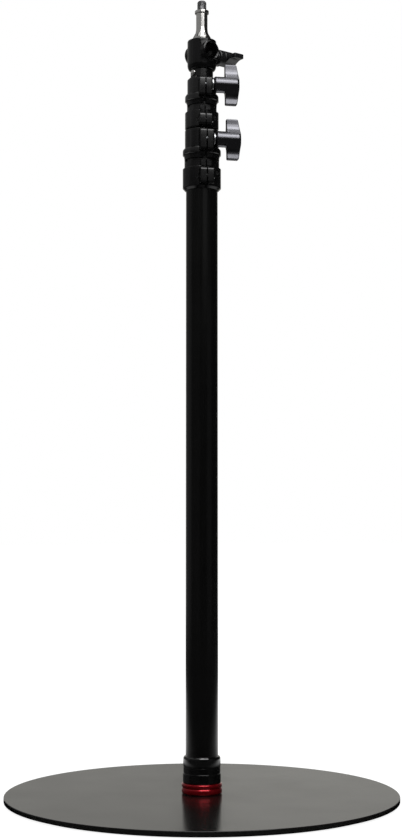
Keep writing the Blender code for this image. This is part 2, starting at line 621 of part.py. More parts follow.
def make_collar(collar):
    """The split casting with its ears, bores, slit, slot and spot faces."""
    name = collar.prefix
    frame = add_frame(f"{name}_collar_axis", (0, 0, collar.base), collar.turn)
    top = collar.height
    chamfer = collar.top_chamfer
    profile = [(collar.bush_bore, top), (collar.clamp_radius - chamfer, top),
               (collar.clamp_radius, top - chamfer)]
    profile += arc((collar.clamp_radius, collar.rim_top),
                   (collar.skirt_radius - collar.clamp_radius,
                    collar.shoulder_top - collar.rim_top), 90, 0, 3)
    profile += arc((collar.skirt_radius, collar.neck_top),
                   (collar.skirt_radius - collar.neck_radius,
                    collar.rim_bottom - collar.neck_top), 90, 180, 3)
    profile += [(collar.neck_radius, collar.skirt_height),
                (collar.skirt_radius - COLLAR_EDGE, collar.skirt_height),
                (collar.skirt_radius, collar.skirt_height - COLLAR_EDGE),
                (collar.skirt_radius, collar.skirt_chamfer),
                (collar.skirt_radius - collar.skirt_chamfer, 0.0)]
    profile += [(collar.lower_bore, 0.0), (collar.lower_bore, collar.seat),
                (collar.clamp_bore, collar.seat), (collar.clamp_bore, top - LIP_HEIGHT),
                (collar.bush_bore, top - LIP_HEIGHT)]
    body = turned(f"{name}_collar", profile, "collar_black", frame)
    slot_bottom = collar.slot_top - SLOT_HEIGHT
    lug_front = collar.neck_radius + LUG_REACH
    join(body,
         ear(f"{name}_skirt_ear", collar.half_width, collar.skirt_ear_front,
             collar.lower_bore + FIT, collar.skirt_ear_bottom, collar.skirt_ear_top, frame),
         ear(f"{name}_clamp_ear", collar.half_width, collar.clamp_ear_front,
             collar.clamp_bore + FIT, collar.clamp_ear_bottom, collar.clamp_ear_top, frame),
         block(f"{name}_neck_lug", (-LUG_HALF_WIDTH, -lug_front, collar.skirt_height - FIT),
               (LUG_HALF_WIDTH, -collar.lower_bore - FIT, slot_bottom + FIT), frame=frame))
    far = 2 * collar.skirt_ear_front
    cut(body,
        block(f"{name}_slit", (-SLIT_WIDTH / 2, -far, -SLOT_HEIGHT),
              (SLIT_WIDTH / 2, -collar.bush_bore / 2, top + SLOT_HEIGHT), frame=frame),
        block(f"{name}_slot", (-far, -far, slot_bottom), (far, -SLOT_DEPTH, collar.slot_top),
              frame=frame))
    return frame, body


def make_bush(collar, frame):
    """The plastic bush in the clamp, split like the casting."""
    name = collar.prefix
    bush = ring(f"{name}_bush", collar.bush_bore, collar.bush_radius, collar.seat,
                collar.height - LIP_HEIGHT - SEAT_GAP, "nylon_grey", frame,
                segments=KNOB_SEGMENTS)
    cut(bush, block(f"{name}_bush_slit",
                    (-SLIT_WIDTH / 2, -collar.clamp_radius, 0.0),
                    (SLIT_WIDTH / 2, -collar.bush_bore / 2, collar.height), frame=frame))


def make_clamp_bolt(collar, frame, body):
    """The socket head bolt through the skirt's ears, and its nut."""
    name = collar.prefix
    axis = add_frame(f"{name}_bolt_axis", (0, -collar.bolt_offset, collar.bolt_height),
                     parent=frame, lay_over=True)
    far = 2 * collar.skirt_radius
    seat = BOLT_SEAT + SEAT_GAP
    head_top = seat + BOLT_HEAD_HEIGHT
    tip = -(seat + NUT_HEIGHT + FIT)
    pocket = (NUT_FLATS / 2 + FIT) / math.cos(math.pi / 6)
    cut(body,
        rod(f"{name}_bolt_hole", BOLT_RADIUS + FIT, (0, 0, -far), (0, 0, far), frame=axis),
        rod(f"{name}_bolt_recess", BOLT_HEAD_RADIUS + FIT, (0, 0, BOLT_SEAT), (0, 0, far),
            frame=axis, segments=KNOB_SEGMENTS),
        rod(f"{name}_nut_pocket", pocket, (0, 0, -BOLT_SEAT), (0, 0, -far), frame=axis,
            segments=6))
    bolt = turned(f"{name}_clamp_bolt",
                  [(0.0, head_top), (BOLT_HEAD_RADIUS - BOLT_HEAD_EDGE, head_top),
                   (BOLT_HEAD_RADIUS, head_top - BOLT_HEAD_EDGE), (BOLT_HEAD_RADIUS, seat),
                   (BOLT_RADIUS, seat), (BOLT_RADIUS, tip), (0.0, tip)],
                  "black_steel", axis, SMALL_SEGMENTS)
    cut(bolt, rod(f"{name}_bolt_socket", BOLT_SOCKET_RADIUS, (0, 0, head_top - BOLT_SOCKET_DEPTH),
                  (0, 0, far), frame=axis, segments=6))
    nut = rod(f"{name}_clamp_nut", NUT_FLATS / 2 / math.cos(math.pi / 6), (0, 0, -seat),
              (0, 0, -seat - NUT_HEIGHT), "black_steel", axis, segments=6)
    cut(nut, rod(f"{name}_nut_hole", BOLT_RADIUS + FIT, (0, 0, -far), (0, 0, 0), frame=axis))


def make_set_screw(collar, frame, body):
    """The radial set screw that holds the skirt on the tube."""
    name = collar.prefix
    axis = add_frame(f"{name}_set_screw_axis", (0, 0, collar.set_screw_height),
                     SET_SCREW_ANGLE - math.pi / 2, frame, lay_over=True)
    tip = collar.lower_bore - FIT + SEAT_GAP
    end = collar.skirt_radius - SET_SCREW_RECESS
    cut(body, rod(f"{name}_set_screw_hole", SET_SCREW_RADIUS + FIT,
                  (0, 0, collar.lower_bore / 2), (0, 0, 2 * collar.skirt_radius), frame=axis))
    screw = rod(f"{name}_set_screw", SET_SCREW_RADIUS, (0, 0, tip), (0, 0, end),
                "black_steel", axis)
    cut(screw, rod(f"{name}_set_screw_key", SET_SCREW_SOCKET, (0, 0, (tip + end) / 2),
                   (0, 0, 2 * end), frame=axis, segments=6))


def make_knob(name, start, neck_length, length, wing_start, finish, frame):
    """A T-shaped knob along its frame's Z, with wings along the frame's X."""
    hub_start = start + neck_length
    end = start + length
    wing_bottom = start + wing_start
    crown = length - wing_start - KNOB_WING_WIDTH
    profile = arc((0.0, end - KNOB_DOME), (KNOB_HUB_RADIUS, KNOB_DOME), 90, 0, 5)
    profile[0] = (0.0, end)
    profile += arc((KNOB_HUB_RADIUS - KNOB_HUB_EDGE, hub_start + KNOB_HUB_EDGE),
                   (KNOB_HUB_EDGE, KNOB_HUB_EDGE), 0, -90, 3)
    profile += [(KNOB_NECK_RADIUS, hub_start), (KNOB_NECK_RADIUS, start), (0.0, start)]
    knob = turned(name, profile, finish, frame, KNOB_SEGMENTS)
    half = KNOB_TIP_THICKNESS / 2
    build = new_box((-KNOB_HALF_SPAN, -half, 0.0), (KNOB_HALF_SPAN, half, KNOB_WING_WIDTH))
    for share in KNOB_STATIONS:
        everything = build.verts[:] + build.edges[:] + build.faces[:]
        bmesh.ops.bisect_plane(build, geom=everything, plane_no=(1, 0, 0),
                               plane_co=(share * KNOB_HALF_SPAN, 0, 0))
    for vert in build.verts:
        share = abs(vert.co.x) / KNOB_HALF_SPAN
        thickness = KNOB_TIP_THICKNESS + KNOB_FLARE * (1 - max(share, KNOB_FLARE_END)) ** 2
        vert.co.y *= thickness / KNOB_TIP_THICKNESS
        if vert.co.z > KNOB_WING_WIDTH / 2:
            vert.co.z += crown * (1 - share ** 2) - WING_SUNK
        vert.co.z += wing_bottom
    corners = [line for line in build.edges
               if all(abs(vert.co.x) > KNOB_HALF_SPAN - WING_SUNK for vert in line.verts)
               and abs(line.verts[0].co.z - line.verts[1].co.z) < WING_SUNK]
    bmesh.ops.bevel(build, geom=corners, offset=KNOB_TIP_ROUNDING, segments=3,
                    profile=0.5, affect="EDGES")
    wings = add_built(f"{name}_wings", build, None, frame)
    bevel = wings.modifiers.new("rounding", "BEVEL")
    bevel.width = KNOB_WING_BEVEL
    bevel.segments = 1
    bevel.limit_method = "ANGLE"
    bevel.angle_limit = math.radians(50.0)
    join(knob, wings)
    return knob


def make_clamp_knob(collar, frame, body):
    """The collar's knob with its stud, washer and the insert that it screws into."""
    name = collar.prefix
    axis = add_frame(f"{name}_knob_axis", (0, -collar.knob_offset, collar.knob_height),
                     parent=frame, lay_over=True)
    far = 2 * collar.skirt_radius
    face = collar.half_width
    stud_hole = KNOB_STUD_RADIUS + FIT
    insert_radius = stud_hole + INSERT_WALL
    insert_end = -(face - INSERT_SKIN)
    washer_bottom = face + SEAT_GAP
    washer_top = washer_bottom + WASHER_THICKNESS
    knob_start = washer_top + SEAT_GAP
    hub_start = knob_start + KNOB_NECK_LENGTH
    spot_radius = WASHER_RADIUS + SPOT_FACE_CLEARANCE
    hub_spot_radius = KNOB_HUB_RADIUS + SPOT_FACE_CLEARANCE
    hub_spot = hub_start - SPOT_FACE_CLEARANCE
    cut(body,
        rod(f"{name}_stud_hole", stud_hole, (0, 0, 0), (0, 0, far), frame=axis),
        rod(f"{name}_insert_hole", insert_radius + FIT, (0, 0, 0), (0, 0, insert_end), frame=axis),
        turned(f"{name}_washer_spot",
               [(0.0, far), (hub_spot_radius, far), (hub_spot_radius, hub_spot + KNOB_HUB_EDGE),
                (hub_spot_radius - KNOB_HUB_EDGE, hub_spot), (spot_radius, hub_spot),
                (spot_radius, face), (0.0, face)],
               frame=axis, segments=KNOB_SEGMENTS))
    ring(f"{name}_knob_insert", stud_hole, insert_radius, insert_end + SEAT_GAP,
         -(SLIT_WIDTH / 2 + SEAT_GAP), "brass", axis, segments=SMALL_SEGMENTS)
    ring(f"{name}_washer", stud_hole, WASHER_RADIUS, washer_bottom, washer_top,
         "zinc_steel", axis, segments=KNOB_SEGMENTS)
    knob = make_knob(f"{name}_knob", knob_start, KNOB_NECK_LENGTH, KNOB_LENGTH,
                     KNOB_WING_START, "gunmetal", axis)
    grip_end = knob_start + KNOB_STUD_GRIP
    cut(knob, rod(f"{name}_knob_hole", stud_hole, (0, 0, 0), (0, 0, grip_end + SEAT_GAP),
                  frame=axis))
    rod(f"{name}_knob_stud", KNOB_STUD_RADIUS, (0, 0, insert_end + 2 * SEAT_GAP), (0, 0, grip_end),
        "zinc_steel", axis, edge=STUD_CHAMFER / 2)


def make_head():
    """The head with its shank, cross socket and boss, and the pin through its shank."""
    shank_bottom = HEAD_BOTTOM - HEAD_SHANK_LENGTH
    profile = [(0.0, HEAD_TOP)]
    profile += arc((HEAD_RADIUS - HEAD_TOP_EDGE, HEAD_TOP - HEAD_TOP_EDGE),
                   (HEAD_TOP_EDGE, HEAD_TOP_EDGE), 90, 0, 2)
    profile += arc((HEAD_BOWL_RADIUS, HEAD_BOTTOM + HEAD_BOWL_HEIGHT),
                   (HEAD_RADIUS - HEAD_BOWL_RADIUS, HEAD_BOWL_HEIGHT), 0, -90, 4)
    profile += [(SHANK_RADIUS, HEAD_BOTTOM), (SHANK_RADIUS, shank_bottom), (0.0, shank_bottom)]
    head = turned("head_body", profile, "collar_black")
    reach = BARREL_HALF_LENGTH
    far = 2 * reach
    join(head,
         rod("head_barrel", BARREL_RADIUS, (0, -reach, SOCKET_Z), (0, reach, SOCKET_Z),
             segments=COLUMN_SEGMENTS, edge=BARREL_EDGE),
         rod("head_boss", BOSS_RADIUS, (0, 0, SOCKET_Z), (BOSS_REACH, 0, SOCKET_Z),
             segments=KNOB_SEGMENTS, edge=BARREL_EDGE))
    socket_axis = add_frame("socket_axis", (0, 0, SOCKET_Z), math.pi / 2, lay_over=True)
    mouth = SOCKET_RADIUS + SOCKET_CHAMFER + FIT
    cut(head, turned("socket_bore",
                     [(0.0, reach + FIT), (mouth, reach + FIT),
                      (SOCKET_RADIUS, reach - SOCKET_CHAMFER),
                      (SOCKET_RADIUS, SOCKET_CHAMFER - reach), (mouth, -reach - FIT),
                      (0.0, -reach - FIT)], frame=socket_axis))
    cut(head,
        rod("head_stud_hole", HEAD_STUD_RADIUS + FIT, (0, 0, SOCKET_Z), (far, 0, SOCKET_Z)),
        rod("spigot_screw_hole", SPIGOT_SCREW_RADIUS + FIT, (0, 0, SOCKET_Z),
            (0, 0, HEAD_TOP + SEAT_GAP)),
        rod("spigot_screw_recess", SPIGOT_SCREW_HEAD_RADIUS + FIT, (0, 0, SOCKET_Z),
            (0, 0, SPIGOT_SCREW_SEAT + SEAT_GAP)),
        rod("head_pin_hole", PIN_RADIUS + FIT, (-far, 0, PIN_Z), (far, 0, PIN_Z)))
    head_inner = THIRD_RADIUS + SEAT_GAP
    end = head_inner + PIN_HEAD_HEIGHT
    axis = add_frame("head_pin_axis", (0, 0, PIN_Z), lay_over=True)
    profile = [(0.0, end)]
    profile += arc((0.0, head_inner), (PIN_HEAD_RADIUS, PIN_HEAD_HEIGHT), 90, 0, 3)[1:]
    profile += [(PIN_RADIUS, head_inner), (PIN_RADIUS, -head_inner)]
    profile += arc((0.0, -head_inner), (PIN_HEAD_RADIUS, PIN_HEAD_HEIGHT), 0, -90, 3)[:-1]
    profile += [(0.0, -end)]
    turned("head_pin", profile, "chrome", axis, SMALL_SEGMENTS)


def make_head_knob():
    """The knob beside the socket, its stud and the pad that the stud presses."""
    pad_face = SOCKET_RADIUS + HEAD_PAD_RECESS
    stud_tip = pad_face + HEAD_PAD_THICKNESS + SEAT_GAP
    start = BOSS_REACH + HEAD_KNOB_TRAVEL + SEAT_GAP
    axis = add_frame("head_knob_axis", (0, 0, SOCKET_Z), lay_over=True,
                     spin=math.pi / 2 + HEAD_KNOB_TILT)
    rod("head_pad", HEAD_STUD_RADIUS, (0, 0, pad_face), (0, 0, pad_face + HEAD_PAD_THICKNESS),
        "black_steel", axis)
    knob = make_knob("head_knob", start, HEAD_KNOB_NECK_LENGTH, HEAD_KNOB_LENGTH,
                     HEAD_KNOB_WING_START, "knob_black", axis)
    grip_end = start + KNOB_STUD_GRIP
    cut(knob, rod("head_knob_hole", HEAD_STUD_RADIUS + FIT, (0, 0, 0),
                  (0, 0, grip_end + SEAT_GAP), frame=axis))
    rod("head_knob_stud", HEAD_STUD_RADIUS, (0, 0, stud_tip), (0, 0, grip_end),
        "zinc_steel", axis, edge=STUD_CHAMFER / 2)


def make_spigot():
    """The turned spigot on the head, and the screw that holds it from inside."""
    cone = SPIGOT_BOTTOM + SPIGOT_BASE_HEIGHT
    waist = cone + SPIGOT_CONE_HEIGHT
    flange = waist + SPIGOT_WAIST_HEIGHT
    thread = flange + SPIGOT_FLANGE_HEIGHT
    tip = thread + SPIGOT_THREAD_HEIGHT
    spigot = turned("spigot",
                    [(0.0, tip), (SPIGOT_THREAD_RADIUS - SPIGOT_THREAD_CHAMFER, tip),
                     (SPIGOT_THREAD_RADIUS, tip - SPIGOT_THREAD_CHAMFER),
                     (SPIGOT_THREAD_RADIUS, thread),
                     (SPIGOT_FLANGE_RADIUS - SPIGOT_EDGE, thread),
                     (SPIGOT_FLANGE_RADIUS, thread - SPIGOT_EDGE),
                     (SPIGOT_FLANGE_RADIUS, flange + SPIGOT_EDGE),
                     (SPIGOT_FLANGE_RADIUS - SPIGOT_EDGE, flange),
                     (SPIGOT_WAIST_RADIUS, flange), (SPIGOT_WAIST_RADIUS, waist),
                     (SPIGOT_BASE_RADIUS, cone), (SPIGOT_BASE_RADIUS, SPIGOT_BOTTOM),
                     (0.0, SPIGOT_BOTTOM)], "chrome", segments=KNOB_SEGMENTS)
    cut(spigot, rod("spigot_hole", SPIGOT_SCREW_RADIUS + FIT, (0, 0, HEAD_TOP),
                    (0, 0, SPIGOT_SCREW_TOP + SEAT_GAP)))
    seat = SPIGOT_SCREW_SEAT
    bottom = seat - SPIGOT_SCREW_HEAD_HEIGHT
    screw = turned("spigot_screw",
                   [(0.0, SPIGOT_SCREW_TOP), (SPIGOT_SCREW_RADIUS, SPIGOT_SCREW_TOP),
                    (SPIGOT_SCREW_RADIUS, seat), (SPIGOT_SCREW_HEAD_RADIUS, seat),
                    (SPIGOT_SCREW_HEAD_RADIUS, bottom), (0.0, bottom)],
                   "zinc_steel", segments=SMALL_SEGMENTS)
    cut(screw, rod("spigot_screw_key", SPIGOT_SCREW_SOCKET, (0, 0, SOCKET_Z),
                   (0, 0, seat - SPIGOT_SCREW_HEAD_HEIGHT / 3), segments=6))


clear_scene()
PARTS = make_collection("light_stand")
CUTTERS = make_collection("cutters")
make_materials()
make_base()
make_foot()
make_tubes()
for one in (LOWER, UPPER):
    collar_frame, casting = make_collar(one)
    make_bush(one, collar_frame)
    make_clamp_bolt(one, collar_frame, casting)
    make_set_screw(one, collar_frame, casting)
    make_clamp_knob(one, collar_frame, casting)
make_head()
make_head_knob()
make_spigot()
finish_meshes()
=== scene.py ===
"""Looks of the light stand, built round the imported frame.

Lengths are in metres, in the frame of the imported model: the column is the Z
axis, the floor is z = 0 and the head's cross socket lies along Y. Places and
overall sizes are read from the frame's nodes, and the rest is named below.
"""

import json
import math

import bmesh
import bpy
from mathutils import Matrix, Vector

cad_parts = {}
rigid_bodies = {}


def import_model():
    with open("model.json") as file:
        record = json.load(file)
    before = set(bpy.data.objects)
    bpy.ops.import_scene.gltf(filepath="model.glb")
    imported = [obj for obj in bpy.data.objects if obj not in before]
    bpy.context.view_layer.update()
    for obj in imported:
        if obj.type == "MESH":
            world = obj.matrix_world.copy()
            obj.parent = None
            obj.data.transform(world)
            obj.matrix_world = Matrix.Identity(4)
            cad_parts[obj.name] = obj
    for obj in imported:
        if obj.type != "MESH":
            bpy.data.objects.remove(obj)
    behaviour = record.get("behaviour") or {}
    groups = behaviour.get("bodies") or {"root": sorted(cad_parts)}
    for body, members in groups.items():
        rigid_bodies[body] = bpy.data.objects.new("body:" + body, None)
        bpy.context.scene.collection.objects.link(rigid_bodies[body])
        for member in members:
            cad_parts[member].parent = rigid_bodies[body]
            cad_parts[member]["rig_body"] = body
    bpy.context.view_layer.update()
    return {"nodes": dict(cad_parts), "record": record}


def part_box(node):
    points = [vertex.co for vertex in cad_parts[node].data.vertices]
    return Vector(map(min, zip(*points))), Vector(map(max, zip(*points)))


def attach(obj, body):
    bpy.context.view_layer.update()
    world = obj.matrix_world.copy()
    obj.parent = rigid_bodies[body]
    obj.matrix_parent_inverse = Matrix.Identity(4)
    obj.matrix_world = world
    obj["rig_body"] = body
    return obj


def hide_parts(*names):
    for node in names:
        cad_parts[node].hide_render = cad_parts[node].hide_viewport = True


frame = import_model()

MM = 0.001
FULL_TURN = 2 * math.pi

# Facets round a full turn, and along arcs and roundings, and a bevel's round profile
PLATE_STEPS = 288
ROUND_STEPS = 112
SMALL_STEPS = 48
ARC_STEPS = 8
BOWL_STEPS = 10
CORNER_STEPS = 4
EAR_ROUNDING_STEPS = 8
TIP_ROUNDING_STEPS = 5
WING_EDGE_STEPS = 3
ROUND_PROFILE = 0.5

# Where an outline's side is this many roundings long, it gets a point at this share past
# the rounding, so that the shading of the long side stays flat
GUARD_ROOM = 4.0
GUARD_SHARE = 1.5

# Degrees up to which faces are shaded as one, and from which edges are softened
SMOOTH_ANGLE = 32.0
KNOB_SMOOTH_ANGLE = 60.0
SOFTEN_ANGLE = 40.0
WING_SOFTEN_ANGLE = 50.0

# Clearances, and distances up to which ends count as level and points as one
FIT = 0.2 * MM
SEAT_GAP = 0.3 * MM
LEVEL_TOLERANCE = 0.4 * MM
MERGE_DISTANCE = 0.0001 * MM

# Threads, their depth in pitches and the steepness of their flanks
THREAD_DEPTH_SHARE = 0.5
THREAD_FLANK = 1.25
THREAD_RINGS_PER_TURN = 12

# Base
PLATE_EDGE = 0.7 * MM
MAT_EDGE = 0.5 * MM
MAT_HOLE_RADIUS = 26.0 * MM
HUB_GROOVE_HEIGHT = 6.2 * MM
HUB_GROOVE_WIDTH = 1.2 * MM
HUB_GROOVE_DEPTH = 0.8 * MM
HUB_EDGE = 2.0 * MM
PILOT_RADIUS = 10.4 * MM
PILOT_DEPTH = 3.0 * MM
STUD_BORE = 8.2 * MM
SCREW_CIRCLE = 16.2 * MM
SCREW_COUNT = 3
SCREW_HOLE_RADIUS = 2.7 * MM
SCREW_RIM_RADIUS = 4.8 * MM
SCREW_RIM_DEPTH = 2.6 * MM
SCREW_KEY_RADIUS = 1.7 * MM
SCREW_KEY_DEPTH = 2.0 * MM

# Column foot
FOOT_RADIUS = 20.1 * MM
FOOT_BASE_HEIGHT = 10.0 * MM
FOOT_FLOOR = 4.2 * MM
FOOT_BORE = 17.7 * MM
FOOT_ROUNDING = 3.3 * MM
FOOT_GROOVE_HEIGHT = 16.5 * MM
FOOT_GROOVE_DEPTH = 0.1 * MM

# Tubes, from the outer to the inner one
TUBES = ("main_tube", "second_tube", "third_tube")
TUBE_WALL = 1.5 * MM
TUBE_EDGE = 0.3 * MM

# Both collars
SKIRT_WALL = 3.45 * MM
RIM_HEIGHT = 4.0 * MM
BUSH_WALL = 1.2 * MM
SLIT_WIDTH = 1.5 * MM
SLOT_HEIGHT = 3.2 * MM
SLOT_DEPTH = 2.0 * MM
EAR_ROUNDING = 2.6 * MM
EAR_SIDE_CHAMFER = 0.7 * MM
EAR_SKIN = 0.9 * MM
INNER_SKIN = 0.6 * MM
SEAT_SKIN = 2.0 * MM
SLOT_ABOVE_NECK = 0.9 * MM
EAR_FOOT_DEPTH = 5.8 * MM
LUG_HALF_WIDTH = 5.7 * MM
LUG_REACH = 3.0 * MM
LIP_HEIGHT = 2.8 * MM
COLLAR_EDGE = 0.6 * MM
CASTING_EDGE = 0.22 * MM

# The lower and the upper collar, with their turns in degrees and own sizes in millimetres
COLLARS = ("lower", "upper")
COLLAR_TURNS = (-26.3, -28.3)
COLLAR_SIZES = {
    "skirt_height": (24.2, 19.0), "skirt_chamfer": (2.6, 0.8), "neck_wall": (1.55, 1.25),
    "neck_height": (9.0, 7.0), "taper_height": (6.5, 6.0), "shoulder_height": (3.0, 3.5),
    "clamp_wall": (2.15, 2.0), "clamp_height": (20.9, 19.0), "top_chamfer": (0.8, 2.6),
    "ear_half_width": (7.6, 7.0), "skirt_ear_bottom": (3.5, 0.6), "skirt_ear_drop": (3.1, 5.1),
    "clamp_ear_drop": (3.2, 4.1), "knob_rise": (1.2, 2.8), "set_screw_drop": (6.6, 8.0),
}

# Bolts, nuts and set screws
BOLT_RADIUS = 2.5 * MM
BOLT_PITCH = 0.8 * MM
BOLT_HEAD_RADIUS = 4.25 * MM
BOLT_HEAD_HEIGHT = 4.2 * MM
BOLT_SOCKET_RADIUS = 2.3 * MM
BOLT_SOCKET_DEPTH = 2.5 * MM
BOLT_SEAT = 2.8 * MM
NUT_RADIUS = 4.62 * MM
NUT_HEIGHT = 3.6 * MM
NUT_FACE_SHARE = 0.87
NUT_TURN = math.pi / 6
SET_SCREW_RADIUS = 2.5 * MM
SET_SCREW_RECESS = 0.5 * MM
SET_SCREW_KEY = 1.45 * MM
SET_SCREW_ANGLE = math.radians(42.0)

# Knobs
STUD_RADIUS = 3.0 * MM
STUD_PITCH = 1.0 * MM
KNOB_STUD_GRIP = 14.0 * MM
INSERT_WALL = 1.0 * MM
INSERT_SKIN = 1.2 * MM
WASHER_RADIUS = 6.6 * MM
WASHER_THICKNESS = 1.6 * MM
SPOT_FACE_CLEARANCE = 0.4 * MM
KNOB_DOME = 2.8 * MM
KNOB_HUB_RADIUS = 8.8 * MM
KNOB_NECK_RADIUS = 5.9 * MM
KNOB_HUB_EDGE = 1.8 * MM
KNOB_NECK_LENGTH = 0.8 * MM
KNOB_LENGTH = 28.4 * MM
KNOB_WING_START = 12.8 * MM
KNOB_WING_WIDTH = 13.0 * MM
KNOB_HALF_SPAN = 23.0 * MM
KNOB_TIP_THICKNESS = 5.0 * MM
KNOB_TURN = math.radians(-4.0)
KNOB_TIP_ROUNDING = 1.2 * MM
KNOB_EDGE = 0.8 * MM
KNOB_FILLET_VOXEL = 0.35 * MM
KNOB_FILLET_PASSES = 5
KNOB_FILLET_STRENGTH = 0.5
WING_STATIONS = 30

# A wing swells from the start toward the knob's axis by a parabola, no further than the
# end, and from the start toward its tip by a share of the way
KNOB_FLARE_START = 17.2 * MM
KNOB_FLARE_END = 6.2 * MM
KNOB_FLARE_CURVE = 31.0
KNOB_TIP_FLARE = 0.03

# Head
HEAD_RADIUS = 16.0 * MM
HEAD_TOP_EDGE = 1.3 * MM
HEAD_BOWL_HEIGHT = 6.0 * MM
HEAD_BOWL_RADIUS = 13.2 * MM
HEAD_SHANK_LENGTH = 26.0 * MM
SHANK_RADIUS = 10.8 * MM
SOCKET_HEIGHT = 19.6 * MM
SOCKET_RADIUS = 8.2 * MM
SOCKET_CHAMFER = 1.4 * MM
BARREL_RADIUS = 11.3 * MM
BARREL_HALF_LENGTH = 17.9 * MM
BARREL_CHAMFER = 1.4 * MM
BOSS_EDGE = 0.8 * MM
BOSS_RADIUS = 7.4 * MM
BOSS_REACH = 16.6 * MM
PIN_RADIUS = 2.0 * MM
PIN_HEAD_RADIUS = 3.7 * MM
PIN_HEAD_HEIGHT = 1.3 * MM
PIN_BELOW_HEAD = 4.2 * MM
HEAD_STUD_RADIUS = 3.9 * MM
HEAD_STUD_PITCH = 1.25 * MM
HEAD_PAD_THICKNESS = 2.0 * MM
HEAD_PAD_RECESS = 0.2 * MM
HEAD_KNOB_TRAVEL = 2.8 * MM
HEAD_KNOB_TILT = math.radians(2.0)
HEAD_KNOB_NECK_LENGTH = 1.2 * MM
HEAD_KNOB_LENGTH = 24.6 * MM
HEAD_KNOB_WING_START = 9.0 * MM

# Spigot
SPIGOT_BASE_RADIUS = 10.1 * MM
SPIGOT_BASE_HEIGHT = 3.4 * MM
SPIGOT_SHOULDER_RADIUS = 7.1 * MM
SPIGOT_SHOULDER_HEIGHT = 5.2 * MM
SPIGOT_SHOULDER_ROUNDING = 1.0 * MM
SPIGOT_CONE_HEIGHT = 9.6 * MM
SPIGOT_WAIST_RADIUS = 6.35 * MM
SPIGOT_WAIST_HEIGHT = 17.9 * MM
SPIGOT_WAIST_ROUNDING = 2.0 * MM
SPIGOT_FLANGE_RADIUS = 7.8 * MM
SPIGOT_FLANGE_HEIGHT = 3.2 * MM
SPIGOT_THREAD_RADIUS = 5.15 * MM
SPIGOT_THREAD_PITCH = 1.5875 * MM
SPIGOT_THREAD_CHAMFER = 1.7 * MM
SPIGOT_EDGE = 0.4 * MM
SPIGOT_HOLE_DEPTH = 11.3 * MM
SPIGOT_HOLE_RADIUS = 3.2 * MM
SPIGOT_SCREW_HEAD_RADIUS = 4.9 * MM
SPIGOT_SCREW_HEAD_HEIGHT = 1.9 * MM

# Camera, as fitted to the photograph
IMAGE_HEIGHT = 840
FOCAL_PIXELS = 1550
SENSOR_SIZE = 36.0
CAMERA_AZIMUTH = math.radians(321.0)
CAMERA_DISTANCE = 1.692
CAMERA_HEIGHT = 0.292
CAMERA_SIDE = 0.94 * MM
CAMERA_PITCH = math.radians(3.97)

# Noise textures lie mostly between these values
NOISE_LOW = 0.3
NOISE_HIGH = 0.7

# Studio
ROOM_LIGHT = 0.7
ROOM_REFLECTION = 0.02
FLOOR_SIZE = 40.0
FLOOR_COLOUR = 0.85
FLOOR_GLOW = 1.12
FLOOR_GLOW_SHARE = 0.8

# The floor as reflections see it, with painted light: a bright painted patch of light behind the
# stand, painted shade beside it and a painted shadow of the plate under it
PAINTED_LIGHT_AZIMUTH = 180.0
PAINTED_LIGHT_DISTANCE = 0.6
PAINTED_LIGHT_RADIUS = 0.45
PAINTED_LIGHT_EDGE = 0.92
PAINTED_LIGHT_COLOUR = 0.8
PAINTED_SHADE_COLOUR = 0.03
PAINTED_PLATE_SHADOW_RADIUS = 0.28
PAINTED_PLATE_SHADOW_EDGE = 0.37

WHITE = (1.0, 1.0, 1.0)
WARM_WHITE = (1.0, 0.985, 0.925)

# Name, azimuth, distance, height, width, height of the face, radiance, height aimed at
BACKDROPS = (
    ("backdrop_left", 194.0, 3.09, 1.2, 1.5, 2.4, 0.46, 1.2),
    ("backdrop_right", 166.0, 3.09, 1.2, 1.5, 2.4, 0.55, 1.2),
)
SOFTBOXES = (
    ("front_top", 18.0, 1.50, 2.78, 2.5, 0.80, 5.5, 0.78),
    ("front_high", 18.0, 2.10, 2.14, 2.5, 1.00, 3.2, 0.78),
    ("front_mid", 23.0, 2.36, 1.62, 1.4, 0.24, 0.7, 0.78),
    ("front_low", 23.0, 2.40, 1.18, 1.4, 0.40, 0.12, 0.78),
    ("top", 20.0, 0.45, 2.6, 0.5, 0.5, 5.0, 0.8),
    ("top_wide", 20.0, 0.3, 3.0, 2.4, 1.6, 0.9, 0.8),
    ("left_low", -49.0, 2.2, 0.65, 3.0, 1.3, 0.035, 0.65),
    ("left_low_far", -115.0, 2.2, 0.65, 2.9, 1.3, 0.12, 0.65),
    ("left_high", -49.0, 2.2, 2.68, 3.0, 2.7, 0.27, 2.68),
    ("left_high_far", -115.0, 2.2, 2.68, 2.9, 2.7, 0.27, 2.68),
    ("right_low", 55.0, 2.2, 0.5, 1.4, 1.0, 0.05, 0.5),
)


def node_low(node):
    """The low corner of a node's box at rest."""
    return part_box(node)[0]


def node_high(node):
    """The high corner of a node's box at rest."""
    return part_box(node)[1]


def link_build(name, build, place=None):
    """Makes an object of a finished bmesh, moved by place."""
    bmesh.ops.recalc_face_normals(build, faces=build.faces[:])
    if place:
        build.transform(place)
    mesh = bpy.data.meshes.new(name)
    build.to_mesh(mesh)
    build.free()
    piece = bpy.data.objects.new(name, mesh)
    bpy.context.scene.collection.objects.link(piece)
    return piece


def bake(piece):
    """Applies the piece's modifiers."""
    depsgraph = bpy.context.evaluated_depsgraph_get()
    mesh = bpy.data.meshes.new_from_object(piece.evaluated_get(depsgraph))
    piece.modifiers.clear()
    piece.data = mesh
    return piece


def carve(piece, *others, operation="DIFFERENCE"):
    """Cuts the other objects from the piece, or joins them on, and removes them."""
    for other in others:
        boolean = piece.modifiers.new(other.name, "BOOLEAN")
        boolean.operation = operation
        boolean.solver = "MANIFOLD"
        boolean.object = other
    bake(piece)
    for other in others:
        bpy.data.objects.remove(other, do_unlink=True)
    return piece


